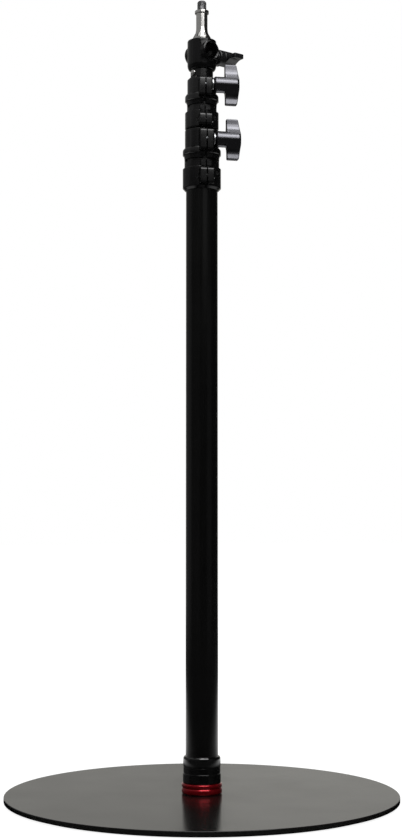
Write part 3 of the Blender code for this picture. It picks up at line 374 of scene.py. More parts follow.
def soften(piece, width, segments=2, angle=SOFTEN_ANGLE):
    """Rounds the piece's sharp edges."""
    bevel = piece.modifiers.new("soften", "BEVEL")
    bevel.width = width
    bevel.segments = segments
    bevel.limit_method = "ANGLE"
    bevel.angle_limit = math.radians(angle)
    bevel.miter_outer = "MITER_ARC"
    return bake(piece)


def rounded(corners):
    """Outline points (radius, height) from corners with or without a third number, a rounding."""
    points = []
    for index, corner in enumerate(corners):
        here = Vector(corner[:2])
        size = corner[2] if len(corner) > 2 else 0.0
        if not size:
            points.append(here)
            continue
        before = Vector(corners[index - 1][:2]) - here
        after = Vector(corners[(index + 1) % len(corners)][:2]) - here
        start = here + before.normalized() * size
        end = here + after.normalized() * size
        if before.length > GUARD_ROOM * size:
            points.append(here + before.normalized() * size * GUARD_SHARE)
        for step in range(CORNER_STEPS + 1):
            share = step / CORNER_STEPS
            points.append(start.lerp(here, share).lerp(here.lerp(end, share), share))
        if after.length > GUARD_ROOM * size:
            points.append(here + after.normalized() * size * GUARD_SHARE)
    return points


def arc(centre, radii, start, end, steps=ARC_STEPS):
    """Corners along part of an ellipse, its angles in degrees from the outward side."""
    points = []
    for step in range(steps + 1):
        angle = math.radians(start + (end - start) * step / steps)
        points.append((centre[0] + radii[0] * math.cos(angle),
                       centre[1] + radii[1] * math.sin(angle)))
    return points


def turned(name, corners, steps=ROUND_STEPS, place=None):
    """A piece turned about Z from the corners of its outline, top to bottom."""
    build = bmesh.new()
    verts = [build.verts.new((point[0], 0.0, point[1])) for point in rounded(corners)]
    pairs = list(zip(verts, verts[1:]))
    if corners[0][0] > 0:
        pairs.append((verts[-1], verts[0]))
    edges = [build.edges.new(pair) for pair in pairs]
    bmesh.ops.spin(build, geom=verts + edges, cent=(0, 0, 0), axis=(0, 0, 1),
                   angle=FULL_TURN, steps=steps, use_merge=True)
    bmesh.ops.remove_doubles(build, verts=build.verts[:], dist=MERGE_DISTANCE)
    return link_build(name, build, place)


def ring(name, inner, outer, bottom, top, edge=0.0, steps=ROUND_STEPS, place=None):
    """A tube along Z."""
    corners = [(inner, top, edge), (outer, top, edge), (outer, bottom, edge), (inner, bottom, edge)]
    return turned(name, corners, steps, place)


def solid(name, corners, steps=SMALL_STEPS, place=None):
    """A piece turned about Z, its flat ends closed at the first and the last corner."""
    ends = [(0.0, corners[0][1]), (0.0, corners[-1][1])]
    return turned(name, [ends[0], *corners, ends[1]], steps, place)


def disc(name, radius, bottom, top, edge=0.0, steps=SMALL_STEPS, place=None):
    """A solid cylinder along Z."""
    return solid(name, [(radius, top, edge), (radius, bottom, edge)], steps, place)


def prism(name, radius, bottom, top, place, spin=0.0):
    """A hexagonal bar along Z."""
    build = bmesh.new()
    middle = Matrix.Translation((0, 0, (bottom + top) / 2)) @ Matrix.Rotation(spin, 4, "Z")
    bmesh.ops.create_cone(build, cap_ends=True, segments=6, radius1=radius, radius2=radius,
                          depth=top - bottom, matrix=middle)
    return link_build(name, build, place)


def new_box(low, high):
    """A bmesh of a box between two corners."""
    build = bmesh.new()
    size = Vector(high) - Vector(low)
    centre = (Vector(high) + Vector(low)) / 2
    bmesh.ops.create_cube(build, size=1.0,
                          matrix=Matrix.Translation(centre) @ Matrix.Diagonal((*size, 1.0)))
    return build


def block(name, low, high, place):
    """A box between two corners, moved by place."""
    return link_build(name, new_box(low, high), place)


def threaded(name, radius, pitch, bottom, top, chamfer, place=None, chamfer_bottom=True):
    """A closed bar along Z with a real screw thread."""
    depth = THREAD_DEPTH_SHARE * pitch
    rings = max(2, round((top - bottom) / pitch * THREAD_RINGS_PER_TURN))
    build = bmesh.new()
    loops = []
    for ring_index in range(rings + 1):
        height = bottom + (top - bottom) * ring_index / rings
        inset = max(0.0, chamfer - (top - height))
        if chamfer_bottom:
            inset = max(inset, chamfer - (height - bottom))
        loop = []
        for step in range(SMALL_STEPS):
            angle = FULL_TURN * step / SMALL_STEPS
            phase = (height / pitch - step / SMALL_STEPS) % 1.0
            valley = abs(2 * phase - 1) * THREAD_FLANK - (THREAD_FLANK - 1) / 2
            valley = min(1.0, max(0.0, valley))
            reach = min(radius - depth * valley, radius - inset)
            loop.append(build.verts.new((reach * math.cos(angle), reach * math.sin(angle), height)))
        loops.append(loop)
    for lower, upper in zip(loops, loops[1:]):
        for step in range(SMALL_STEPS):
            follow = (step + 1) % SMALL_STEPS
            build.faces.new((lower[step], lower[follow], upper[follow], upper[step]))
    build.faces.new(loops[-1])
    build.faces.new(loops[0])
    return link_build(name, build, place)


def laid_over(location, turn=0.0, spin=0.0):
    """A placing whose Z runs along X, turned about the column by turn."""
    return (Matrix.Rotation(turn, 4, "Z") @ Matrix.Translation(location)
            @ Matrix.Rotation(math.pi / 2, 4, "Y") @ Matrix.Rotation(spin, 4, "Z"))


def fill(tree, node, **inputs):
    """Gives a node's inputs their values, or links other nodes' outputs to them."""
    for name, value in inputs.items():
        socket = node.inputs[name.replace("_", " ")]
        if isinstance(value, bpy.types.NodeSocket):
            tree.links.new(value, socket)
        else:
            socket.default_value = value
    return node


def add_node(tree, kind, **inputs):
    """A new shader node with these inputs."""
    return fill(tree, tree.nodes.new(f"ShaderNode{kind}"), **inputs)


def mapped(tree, value, start, end, low, high):
    """Turns the stretch of a value from start to end into low to high."""
    node = add_node(tree, "MapRange", Value=value, From_Min=start, From_Max=end, To_Min=low,
                    To_Max=high)
    return node.outputs["Result"]


class Shader:
    """A material under construction, with its Principled shader and coordinates."""

    def __init__(self, name, colour, roughness, metallic=0.0, specular=0.5):
        self.material = bpy.data.materials.new(name)
        self.material.use_nodes = True
        self.tree = self.material.node_tree
        self.colour = colour
        self.roughness = roughness
        self.height = None
        self.place = add_node(self.tree, "TexCoord").outputs["Object"]
        self.fill(Base_Color=(*colour, 1.0), Metallic=metallic, Roughness=roughness,
                  Specular_IOR_Level=specular)

    def fill(self, **inputs):
        """Sets or links inputs of the Principled shader."""
        fill(self.tree, self.tree.nodes["Principled BSDF"], **inputs)

    def noise(self, scale, detail=3.0, stretch=(1.0, 1.0, 1.0)):
        """Noise with this many features to the metre, stretched along the axes."""
        mapping = add_node(self.tree, "Mapping", Vector=self.place, Scale=stretch)
        texture = add_node(self.tree, "TexNoise", Vector=mapping.outputs["Vector"],
                           Scale=scale, Detail=detail)
        return texture.outputs["Fac"]

    def vary_colour(self, value, low, high):
        """Lets the colour's brightness vary between two multiples."""
        ramp = add_node(self.tree, "ValToRGB", Fac=value)
        stops = ((NOISE_LOW, low), (NOISE_HIGH, high))
        for element, (position, share) in zip(ramp.color_ramp.elements, stops):
            element.position = position
            element.color = (*(min(1.0, part * share) for part in self.colour), 1.0)
        self.fill(Base_Color=ramp.outputs["Color"])

    def vary_roughness(self, value, spread):
        """Lets the roughness vary by this much to both sides."""
        self.fill(Roughness=mapped(self.tree, value, NOISE_LOW, NOISE_HIGH,
                                   self.roughness - spread, self.roughness + spread))

    def bump(self, value, distance, strength=1.0):
        """Raises the surface by noise, each bump on top of the last."""
        node = add_node(self.tree, "Bump", Distance=distance, Strength=strength, Height=value)
        if self.height:
            fill(self.tree, node, Normal=self.height)
        self.height = node.outputs["Normal"]
        self.fill(Normal=self.height)


def powder_coat():
    """Fine black powder coat with orange peel."""
    made = Shader("powder_coat", (0.004, 0.004, 0.0037), roughness=0.19)
    made.vary_colour(made.noise(900.0), 0.8, 1.25)
    made.vary_roughness(made.noise(14.0), 0.02)
    made.bump(made.noise(1600.0, 2.0), 0.02 * MM, strength=0.35)
    return made.material


def rubber():
    """Matt black rubber."""
    made = Shader("rubber", (0.018, 0.018, 0.018), roughness=0.8, specular=0.3)
    made.vary_colour(made.noise(60.0), 0.7, 1.4)
    made.bump(made.noise(2500.0), 0.05 * MM, strength=0.5)
    return made.material


def red_anodised():
    """Red anodised aluminium with faint turning marks."""
    made = Shader("red_anodised", (0.31, 0.003, 0.009), roughness=0.25, metallic=0.85)
    marks = made.noise(90.0, 2.0, stretch=(1.0, 1.0, 60.0))
    made.vary_colour(marks, 0.85, 1.1)
    made.vary_roughness(marks, 0.05)
    made.bump(marks, 0.01 * MM, strength=0.4)
    made.fill(Coat_Weight=0.4, Coat_Roughness=0.12)
    return made.material


def tube_black():
    """Black anodised tube with faint lengthwise drawing marks."""
    made = Shader("tube_black", (0.0010, 0.0010, 0.0010), roughness=0.19)
    marks = made.noise(220.0, 2.0, stretch=(6.0, 6.0, 0.05))
    made.vary_colour(made.noise(30.0), 0.8, 1.3)
    made.vary_roughness(marks, 0.03)
    made.bump(marks, 0.006 * MM, strength=0.3)
    return made.material


def gloss_black():
    """Glossy black coat of the column's foot."""
    made = Shader("gloss_black", (0.001, 0.001, 0.001), roughness=0.10, specular=0.9)
    marks = made.noise(120.0, 2.0, stretch=(1.0, 1.0, 40.0))
    made.vary_colour(made.noise(80.0), 0.7, 1.3)
    made.vary_roughness(marks, 0.03)
    return made.material


def casting_black(name, specular):
    """Black coat over a fine casting."""
    made = Shader(name, (0.0012, 0.0012, 0.0013), roughness=0.17, specular=specular)
    made.vary_colour(made.noise(200.0), 0.7, 1.4)
    made.vary_roughness(made.noise(60.0), 0.04)
    made.bump(made.noise(900.0, 2.0), 0.03 * MM, strength=0.12)
    return made.material


def black_steel():
    """Black oxide on small screws."""
    made = Shader("black_steel", (0.012, 0.012, 0.012), roughness=0.4)
    made.vary_colour(made.noise(400.0), 0.7, 1.4)
    made.vary_roughness(made.noise(150.0), 0.06)
    return made.material


def gunmetal():
    """Dark polished metal coat of the collars' knobs."""
    made = Shader("gunmetal", (0.128, 0.128, 0.139), roughness=0.21, metallic=1.0)
    marks = made.noise(500.0, 2.0)
    made.vary_colour(marks, 0.92, 1.06)
    made.vary_roughness(made.noise(80.0), 0.03)
    made.bump(marks, 0.01 * MM, strength=0.25)
    return made.material


def knob_black():
    """Black plastic of the head's knob."""
    made = Shader("knob_black", (0.005, 0.005, 0.0055), roughness=0.34)
    made.vary_colour(made.noise(150.0), 0.8, 1.3)
    made.vary_roughness(made.noise(60.0), 0.05)
    made.bump(made.noise(1800.0, 2.0), 0.03 * MM, strength=0.3)
    return made.material


def steel():
    """Zinc plated steel."""
    made = Shader("zinc_steel", (0.52, 0.53, 0.54), roughness=0.28, metallic=1.0)
    marks = made.noise(700.0, 3.0)
    made.vary_colour(marks, 0.85, 1.1)
    made.vary_roughness(marks, 0.06)
    return made.material


def chrome():
    """Polished metal with faint turning marks."""
    made = Shader("chrome", (0.62, 0.61, 0.59), roughness=0.14, metallic=1.0)
    marks = made.noise(150.0, 2.0, stretch=(1.0, 1.0, 60.0))
    made.vary_colour(marks, 0.94, 1.05)
    made.vary_roughness(marks, 0.04)
    made.bump(marks, 0.006 * MM, strength=0.3)
    return made.material


def spigot_thread():
    """The darker steel of the spigot's cut thread."""
    made = Shader("spigot_thread", (0.40, 0.40, 0.41), roughness=0.4, metallic=1.0)
    made.vary_colour(made.noise(400.0), 0.7, 1.3)
    made.vary_roughness(made.noise(300.0), 0.05)
    return made.material


def brass():
    """Machined brass."""
    made = Shader("brass", (0.60, 0.42, 0.16), roughness=0.28, metallic=1.0)
    marks = made.noise(300.0, 2.0)
    made.vary_colour(marks, 0.85, 1.1)
    made.vary_roughness(marks, 0.05)
    return made.material


def nylon(name, colour):
    """Moulded plastic of this colour."""
    made = Shader(name, colour, roughness=0.5, specular=0.4)
    made.vary_colour(made.noise(120.0), 0.9, 1.1)
    made.bump(made.noise(1200.0), 0.03 * MM, strength=0.3)
    return made.material


FINISHES = {
    "powder_black": powder_coat(),
    "rubber_black": rubber(),
    "anodised_red": red_anodised(),
    "anodised_black": tube_black(),
    "gloss_black": gloss_black(),
    "collar_black": casting_black("casting_black", 0.6),
    "gunmetal": gunmetal(),
    "zinc_steel": steel(),
    "black_steel": black_steel(),
    "chrome": chrome(),
    "brass": brass(),
    "nylon_grey": nylon("nylon_grey", (0.05, 0.05, 0.055)),
    "nylon_white": nylon("nylon_white", (0.62, 0.60, 0.55)),
    "knob_black": knob_black(),
}


def dress(piece, slot, node, angle=SMOOTH_ANGLE, material=None):
    """Smooths the piece and puts it in the node's place, in its own material or the slot's."""
    piece.data.shade_smooth()
    piece.data.set_sharp_from_angle(angle=math.radians(angle))
    piece.data.materials.clear()
    piece.data.materials.append(material or FINISHES[slot])
    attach(piece, frame["nodes"][node]["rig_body"])
    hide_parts(node)


def screw_spots():
    """Numbers and places of the screws under the plate."""
    for index in range(SCREW_COUNT):
        angle = FULL_TURN * index / SCREW_COUNT
        yield index + 1, (SCREW_CIRCLE * math.cos(angle), SCREW_CIRCLE * math.sin(angle), 0.0)


def make_plate():
    """The round plate with its countersunk screw holes, and the mat under it."""
    low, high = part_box("base_plate")
    plate = ring("plate_look", PILOT_RADIUS + FIT, high.x, low.z, high.z, PLATE_EDGE, PLATE_STEPS)
    holes = []
    for index, spot in screw_spots():
        corners = [(SCREW_HOLE_RADIUS, high.z + FIT), (SCREW_HOLE_RADIUS, low.z + SCREW_RIM_DEPTH),
                   (SCREW_RIM_RADIUS, low.z + SEAT_GAP), (SCREW_RIM_RADIUS, 0.0)]
        holes.append(solid(f"plate_hole_{index}", corners, place=Matrix.Translation(spot)))
    dress(carve(plate, *holes), "powder_black", "base_plate")
    low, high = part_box("base_mat")
    mat = ring("mat_look", MAT_HOLE_RADIUS, high.x, low.z, high.z, MAT_EDGE, PLATE_STEPS)
    dress(mat, "rubber_black", "base_mat")


def make_hub():
    """The ring with two beads, its pilot seated in the plate."""
    low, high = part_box("base_hub")
    seat = low.z + PILOT_DEPTH
    groove = seat + HUB_GROOVE_HEIGHT
    half = HUB_GROOVE_WIDTH / 2
    corners = [(STUD_BORE, high.z), (high.x, high.z, HUB_EDGE),
               (high.x, groove + half, HUB_EDGE), (high.x - HUB_GROOVE_DEPTH, groove),
               (high.x, groove - half, HUB_EDGE), (high.x, seat, HUB_EDGE),
               (PILOT_RADIUS, seat), (PILOT_RADIUS, low.z), (STUD_BORE, low.z)]
    dress(turned("hub_look", corners), "anodised_red", "base_hub")


def make_plate_screws():
    """The countersunk screws from below."""
    for index, spot in screw_spots():
        node = f"base_screw_{index}"
        low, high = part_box(node)
        radius = (high.x - low.x) / 2
        place = Matrix.Translation(spot)
        corners = [(SCREW_HOLE_RADIUS - FIT, high.z, SEAT_GAP),
                   (SCREW_HOLE_RADIUS - FIT, low.z + SCREW_RIM_DEPTH),
                   (radius, low.z + FIT, FIT / 2), (radius, low.z, FIT / 2)]
        screw = solid(f"screw_look_{index}", corners, place=place)
        key = prism("key", SCREW_KEY_RADIUS, 0.0, low.z + SCREW_KEY_DEPTH, place)
        dress(carve(screw, key), "zinc_steel", node)


def make_foot():
    """The cup round the column's lower end."""
    low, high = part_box("column_foot")
    step = low.z + FOOT_BASE_HEIGHT
    groove = low.z + FOOT_GROOVE_HEIGHT
    step_edge = (high.x - FOOT_RADIUS) / 2
    corners = [(FOOT_BORE, high.z), (FOOT_RADIUS, high.z, FOOT_ROUNDING),
               (FOOT_RADIUS, groove + FOOT_GROOVE_DEPTH),
               (FOOT_RADIUS - FOOT_GROOVE_DEPTH, groove),
               (FOOT_RADIUS, groove - FOOT_GROOVE_DEPTH),
               (FOOT_RADIUS, step), (high.x, step - step_edge, step_edge / 2),
               (high.x, low.z, COLLAR_EDGE), (STUD_BORE, low.z),
               (STUD_BORE, low.z + FOOT_FLOOR), (FOOT_BORE, low.z + FOOT_FLOOR)]
    dress(turned("foot_look", corners), "gloss_black", "column_foot")


def make_tubes():
    """The three tubes, the inner one drilled for the head's pin."""
    for node in TUBES:
        low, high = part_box(node)
        tube = ring(f"{node}_look", high.x - TUBE_WALL, high.x, low.z, high.z, TUBE_EDGE)
        if node == TUBES[-1]:
            far = 2 * high.x
            carve(tube, disc("pin_hole", PIN_RADIUS + FIT, -far, far, place=pin_axis()))
        dress(tube, "anodised_black", node)


class Collar:
    """The sizes and places of one collar, its heights counted from its lower end."""

    def __init__(self, index):
        size = {part: values[index] * MM for part, values in COLLAR_SIZES.items()}
        self.prefix = COLLARS[index]
        self.lower_bore = node_high(TUBES[index]).x + FIT
        self.bush_bore = node_high(TUBES[index + 1]).x + FIT
        self.clamp_bore = self.bush_bore + BUSH_WALL + FIT
        self.skirt_radius = self.lower_bore + SKIRT_WALL
        self.skirt_height = size["skirt_height"]
        self.skirt_chamfer = size["skirt_chamfer"]
        self.neck_radius = self.lower_bore + size["neck_wall"]
        self.neck_top = self.skirt_height + size["neck_height"]
        self.clamp_radius = self.clamp_bore + size["clamp_wall"]
        self.rim_bottom = self.neck_top + size["taper_height"]
        self.rim_top = self.rim_bottom + RIM_HEIGHT
        self.shoulder_top = self.rim_top + size["shoulder_height"]
        self.height = self.shoulder_top + size["clamp_height"]
        self.top_chamfer = size["top_chamfer"]
        self.slot_top = self.neck_top + SLOT_ABOVE_NECK
        self.slot_bottom = self.slot_top - SLOT_HEIGHT
        self.seat = self.slot_top + SEAT_SKIN
        self.half_width = size["ear_half_width"]
        self.skirt_ear_bottom = size["skirt_ear_bottom"]
        self.skirt_ear_top = self.skirt_height - size["skirt_ear_drop"]
        bolt_height = (self.skirt_ear_bottom + self.skirt_ear_top) / 2
        bolt_offset = self.lower_bore + INNER_SKIN + BOLT_HEAD_RADIUS + FIT
        self.skirt_ear_front = bolt_offset + BOLT_HEAD_RADIUS + FIT + EAR_SKIN
        self.clamp_ear_bottom = self.shoulder_top - EAR_FOOT_DEPTH
        self.clamp_ear_top = self.height - size["clamp_ear_drop"]
        knob_height = (self.clamp_ear_bottom + self.clamp_ear_top) / 2 + size["knob_rise"]
        room = STUD_RADIUS + INSERT_WALL + 2 * FIT
        knob_offset = self.clamp_bore + INNER_SKIN + room
        self.clamp_ear_front = knob_offset + room + EAR_SKIN
        base = node_low(self.node("collar")).z
        turn = Matrix.Rotation(math.radians(COLLAR_TURNS[index]), 4, "Z")
        self.place = Matrix.Translation((0, 0, base)) @ turn
        self.bolt_axis = self.place @ laid_over((0, -bolt_offset, bolt_height))
        self.knob_axis = self.place @ laid_over((0, -knob_offset, knob_height))
        screw_height = self.skirt_height - size["set_screw_drop"]
        screw_axis = self.place @ laid_over((0, 0, 0), SET_SCREW_ANGLE - math.pi / 2)
        self.set_screw_axis = Matrix.Translation((0, 0, screw_height)) @ screw_axis

    def node(self, part):
        """The full name of this collar's node."""
        return f"{self.prefix}_{part}"


def ear(name, half_width, front, back, bottom, top, place):
    """A lug toward -Y, rounded above and below, its sides chamfered toward the front."""
    build = new_box((-half_width, -front, bottom), (half_width, -back, top))
    corners = [line for line in build.edges
               if all(vert.co.y < -(front + back) / 2 for vert in line.verts)
               and abs(line.verts[0].co.z - line.verts[1].co.z) < LEVEL_TOLERANCE]
    bmesh.ops.bevel(build, geom=corners, offset=EAR_ROUNDING, segments=EAR_ROUNDING_STEPS,
                    profile=ROUND_PROFILE, affect="EDGES")
    sides = [line for line in build.edges
             if abs(line.verts[0].co.x - line.verts[1].co.x) < LEVEL_TOLERANCE
             and any(vert.co.y < -back - LEVEL_TOLERANCE for vert in line.verts)]
    bmesh.ops.bevel(build, geom=sides, offset=EAR_SIDE_CHAMFER, segments=1, affect="EDGES")
    return link_build(name, build, place)


def casting_outline(collar):
    """The corners from the clamp's lip down the outside and up through the bores."""
    top = collar.height
    skirt = collar.skirt_radius
    clamp = collar.clamp_radius
    corners = [(collar.bush_bore, top, FIT), (clamp - collar.top_chamfer, top, SEAT_GAP),
               (clamp, top - collar.top_chamfer, SEAT_GAP)]
    corners += arc((clamp, collar.rim_top),
                   (skirt - clamp, collar.shoulder_top - collar.rim_top), 90, 0)
    corners += arc((skirt, collar.neck_top),
                   (skirt - collar.neck_radius, collar.rim_bottom - collar.neck_top), 90, 180)
    corners += [(collar.neck_radius, collar.skirt_height, SEAT_GAP),
                (skirt, collar.skirt_height, COLLAR_EDGE),
                (skirt, collar.skirt_chamfer, COLLAR_EDGE),
                (skirt - collar.skirt_chamfer, 0.0, SEAT_GAP),
                (collar.lower_bore, 0.0, FIT), (collar.lower_bore, collar.seat),
                (collar.clamp_bore, collar.seat), (collar.clamp_bore, top - LIP_HEIGHT),
                (collar.bush_bore, top - LIP_HEIGHT)]
    return corners


def casting_ears(collar):
    """Both pairs of ears, and the lug on the neck between them."""
    place = collar.place
    lug_front = collar.neck_radius + LUG_REACH
    return (
        ear("skirt_ear", collar.half_width, collar.skirt_ear_front, collar.lower_bore + FIT,
            collar.skirt_ear_bottom, collar.skirt_ear_top, place),
        ear("clamp_ear", collar.half_width, collar.clamp_ear_front, collar.clamp_bore + FIT,
            collar.clamp_ear_bottom, collar.clamp_ear_top, place),
        block("neck_lug", (-LUG_HALF_WIDTH, -lug_front, collar.skirt_height - FIT),
              (LUG_HALF_WIDTH, -collar.lower_bore - FIT, collar.slot_bottom + FIT), place))


def casting_cuts(collar):
    """Slit, slot, screw holes, pocket and the spot faces for washer and hub."""
    place = collar.place
    far = 2 * collar.skirt_ear_front
    insert = STUD_RADIUS + FIT + INSERT_WALL + FIT
    face = collar.half_width
    spot = WASHER_RADIUS + SPOT_FACE_CLEARANCE
    hub_spot = KNOB_HUB_RADIUS + SPOT_FACE_CLEARANCE
    hub_start = face + 2 * SEAT_GAP + WASHER_THICKNESS + KNOB_NECK_LENGTH - SPOT_FACE_CLEARANCE
    return (
        block("slit", (-SLIT_WIDTH / 2, -far, -SLOT_HEIGHT),
              (SLIT_WIDTH / 2, -collar.bush_bore / 2, collar.height + SLOT_HEIGHT), place),
        block("slot", (-far, -far, collar.slot_bottom), (far, -SLOT_DEPTH, collar.slot_top), place),
        disc("bolt_hole", BOLT_RADIUS + FIT, -far, far, place=collar.bolt_axis),
        disc("bolt_recess", BOLT_HEAD_RADIUS + FIT, BOLT_SEAT, far, place=collar.bolt_axis),
        prism("nut_pocket", NUT_RADIUS + FIT, -far, -BOLT_SEAT, collar.bolt_axis, NUT_TURN),
        disc("stud_hole", STUD_RADIUS + FIT, 0.0, far, place=collar.knob_axis),
        disc("insert_hole", insert, INSERT_SKIN - face, 0.0, place=collar.knob_axis),
        solid("washer_spot",
              [(hub_spot, far), (hub_spot, hub_start + KNOB_HUB_EDGE),
               (hub_spot - KNOB_HUB_EDGE, hub_start), (spot, hub_start), (spot, face)],
              place=collar.knob_axis),
        disc("set_hole", SET_SCREW_RADIUS + FIT, collar.lower_bore / 2, far,
             place=collar.set_screw_axis))


def make_casting(collar):
    """The split casting, fixed to the tube below and clamped round the tube above."""
    casting = turned(f"{collar.prefix}_casting", casting_outline(collar), place=collar.place)
    carve(casting, *casting_ears(collar), operation="UNION")
    carve(casting, *casting_cuts(collar))
    soften(casting, CASTING_EDGE)
    dress(casting, "collar_black", collar.node("collar"))


def make_set_screw(collar):
    """The grub screw in the side of the skirt."""
    axis = collar.set_screw_axis
    tip = collar.lower_bore - FIT + SEAT_GAP
    end = collar.skirt_radius - SET_SCREW_RECESS
    screw = disc(f"{collar.prefix}_set_look", SET_SCREW_RADIUS, tip, end, FIT, place=axis)
    key = prism("key", SET_SCREW_KEY, (tip + end) / 2, 2 * end, axis)
    dress(carve(screw, key), "black_steel", collar.node("set_screw"))


def make_clamp_bolt(collar):
    """The socket head bolt through the skirt's ears, and its nut."""
    axis = collar.bolt_axis
    seat = BOLT_SEAT + SEAT_GAP
    top = seat + BOLT_HEAD_HEIGHT
    tip = -(seat + NUT_HEIGHT + FIT)
    bolt = solid(f"{collar.prefix}_bolt_look",
                 [(BOLT_HEAD_RADIUS, top, 2 * FIT), (BOLT_HEAD_RADIUS, seat, FIT),
                  (BOLT_RADIUS - FIT, seat), (BOLT_RADIUS - FIT, 0.0)], place=axis)
    shank = threaded("shank", BOLT_RADIUS, BOLT_PITCH, tip, SEAT_GAP, 2 * FIT, axis)
    carve(bolt, shank, operation="UNION")
    key = prism("key", BOLT_SOCKET_RADIUS, top - BOLT_SOCKET_DEPTH, 2 * top, axis)
    dress(carve(bolt, key), "black_steel", collar.node("clamp_bolt"))
    back = -seat - NUT_HEIGHT
    nut = prism(f"{collar.prefix}_nut_look", NUT_RADIUS, back, -seat, axis, NUT_TURN)
    carve(nut, disc("nut_hole", BOLT_RADIUS + FIT / 2, -2 * top, 0.0, place=axis))
    cone = solid("nut_cone", [(2 * NUT_RADIUS, 0.0), (2 * NUT_RADIUS, back + NUT_RADIUS),
                              (NUT_RADIUS * NUT_FACE_SHARE, back)], place=axis)
    carve(nut, cone, operation="INTERSECT")
    dress(nut, "black_steel", collar.node("clamp_nut"))


def knob_wings(bottom, crown):
    """Both wings of a knob along X, with a crown on their upper side."""
    half = KNOB_TIP_THICKNESS / 2
    build = new_box((-KNOB_HALF_SPAN, -half, 0.0), (KNOB_HALF_SPAN, half, KNOB_WING_WIDTH))
    for station in range(1, WING_STATIONS):
        everything = build.verts[:] + build.edges[:] + build.faces[:]
        across = KNOB_HALF_SPAN * (2 * station / WING_STATIONS - 1)
        bmesh.ops.bisect_plane(build, geom=everything, plane_no=(1, 0, 0), plane_co=(across, 0, 0))
    for vert in build.verts:
        across = abs(vert.co.x)
        share = across / KNOB_HALF_SPAN
        inward = KNOB_FLARE_START - max(across, KNOB_FLARE_END)
        swell = KNOB_FLARE_CURVE * inward ** 2 if inward > 0 else -KNOB_TIP_FLARE * inward
        vert.co.y *= 1 + swell / half
        if vert.co.z > KNOB_WING_WIDTH / 2:
            vert.co.z += crown * (1 - share ** 2)
        vert.co.z += bottom
    tips = [line for line in build.edges
            if all(abs(vert.co.x) > KNOB_HALF_SPAN - LEVEL_TOLERANCE for vert in line.verts)
            and abs(line.verts[0].co.z - line.verts[1].co.z) < LEVEL_TOLERANCE]
    bmesh.ops.bevel(build, geom=tips, offset=KNOB_TIP_ROUNDING, segments=TIP_ROUNDING_STEPS,
                    profile=ROUND_PROFILE, affect="EDGES")
    return soften(link_build("wings", build), KNOB_EDGE, WING_EDGE_STEPS, WING_SOFTEN_ANGLE)


def fill_corners(knob):
    """Gives the knob the fillets of a casting between its hub and wings."""
    remesh = knob.modifiers.new("remesh", "REMESH")
    remesh.mode = "VOXEL"
    remesh.voxel_size = KNOB_FILLET_VOXEL
    smooth = knob.modifiers.new("fillet", "SMOOTH")
    smooth.factor = KNOB_FILLET_STRENGTH
    smooth.iterations = KNOB_FILLET_PASSES
    return bake(knob)


def make_knob(name, place, start, neck_length, length, wing_start, stud_radius):
    """A T-shaped knob along its placing's Z, cast in one with its wings."""
    hub_start = start + neck_length
    end = start + length
    corners = [(0.0, end)]
    corners += arc((0.0, end - KNOB_DOME), (KNOB_HUB_RADIUS, KNOB_DOME), 90, 0)[1:]
    corners += [(KNOB_HUB_RADIUS, hub_start, KNOB_HUB_EDGE), (KNOB_NECK_RADIUS, hub_start),
                (KNOB_NECK_RADIUS, start, SEAT_GAP), (0.0, start)]
    knob = turned(name, corners)
    wings = knob_wings(start + wing_start, length - wing_start - KNOB_WING_WIDTH)
    fill_corners(carve(knob, wings, operation="UNION"))
    carve(knob, disc("stud_hole", stud_radius + FIT, 0.0, start + KNOB_STUD_GRIP + SEAT_GAP))
    knob.data.transform(place)
    return knob


def make_clamp_knob(collar):
    """Insert, washer, stud and knob on the axis through the clamp's ears."""
    axis = collar.knob_axis
    face = collar.half_width
    bore = STUD_RADIUS + FIT
    insert_end = INSERT_SKIN - face
    insert = ring(f"{collar.prefix}_insert_look", bore, bore + INSERT_WALL, insert_end + SEAT_GAP,
                  -SLIT_WIDTH / 2 - SEAT_GAP, FIT, SMALL_STEPS, axis)
    dress(insert, "brass", collar.node("knob_insert"))
    washer_top = face + SEAT_GAP + WASHER_THICKNESS
    washer = ring(f"{collar.prefix}_washer_look", bore, WASHER_RADIUS, face + SEAT_GAP, washer_top,
                  SEAT_GAP, SMALL_STEPS, axis)
    dress(washer, "zinc_steel", collar.node("washer"))
    start = washer_top + SEAT_GAP
    knob = make_knob(f"{collar.prefix}_knob_look", axis @ Matrix.Rotation(KNOB_TURN, 4, "Z"), start,
                     KNOB_NECK_LENGTH, KNOB_LENGTH, KNOB_WING_START, STUD_RADIUS)
    dress(knob, "gunmetal", collar.node("knob"), KNOB_SMOOTH_ANGLE)
    stud = threaded(f"{collar.prefix}_stud_look", STUD_RADIUS, STUD_PITCH,
                    insert_end + 2 * SEAT_GAP, start + KNOB_STUD_GRIP, 2 * FIT, axis)
    dress(stud, "zinc_steel", collar.node("knob_stud"))


def make_collars():
    """Both collars, each with its screws and its knob."""
    for index in range(len(COLLARS)):
        collar = Collar(index)
        make_casting(collar)
        make_set_screw(collar)
        make_clamp_bolt(collar)
        make_clamp_knob(collar)


def head_bottom():
    """The height of the head's underside, round its shank."""
    return node_low("head_body").z + HEAD_SHANK_LENGTH


def pin_axis():
    """A placing along the pin through the head's shank."""
    return laid_over((0, 0, head_bottom() - PIN_BELOW_HEAD))


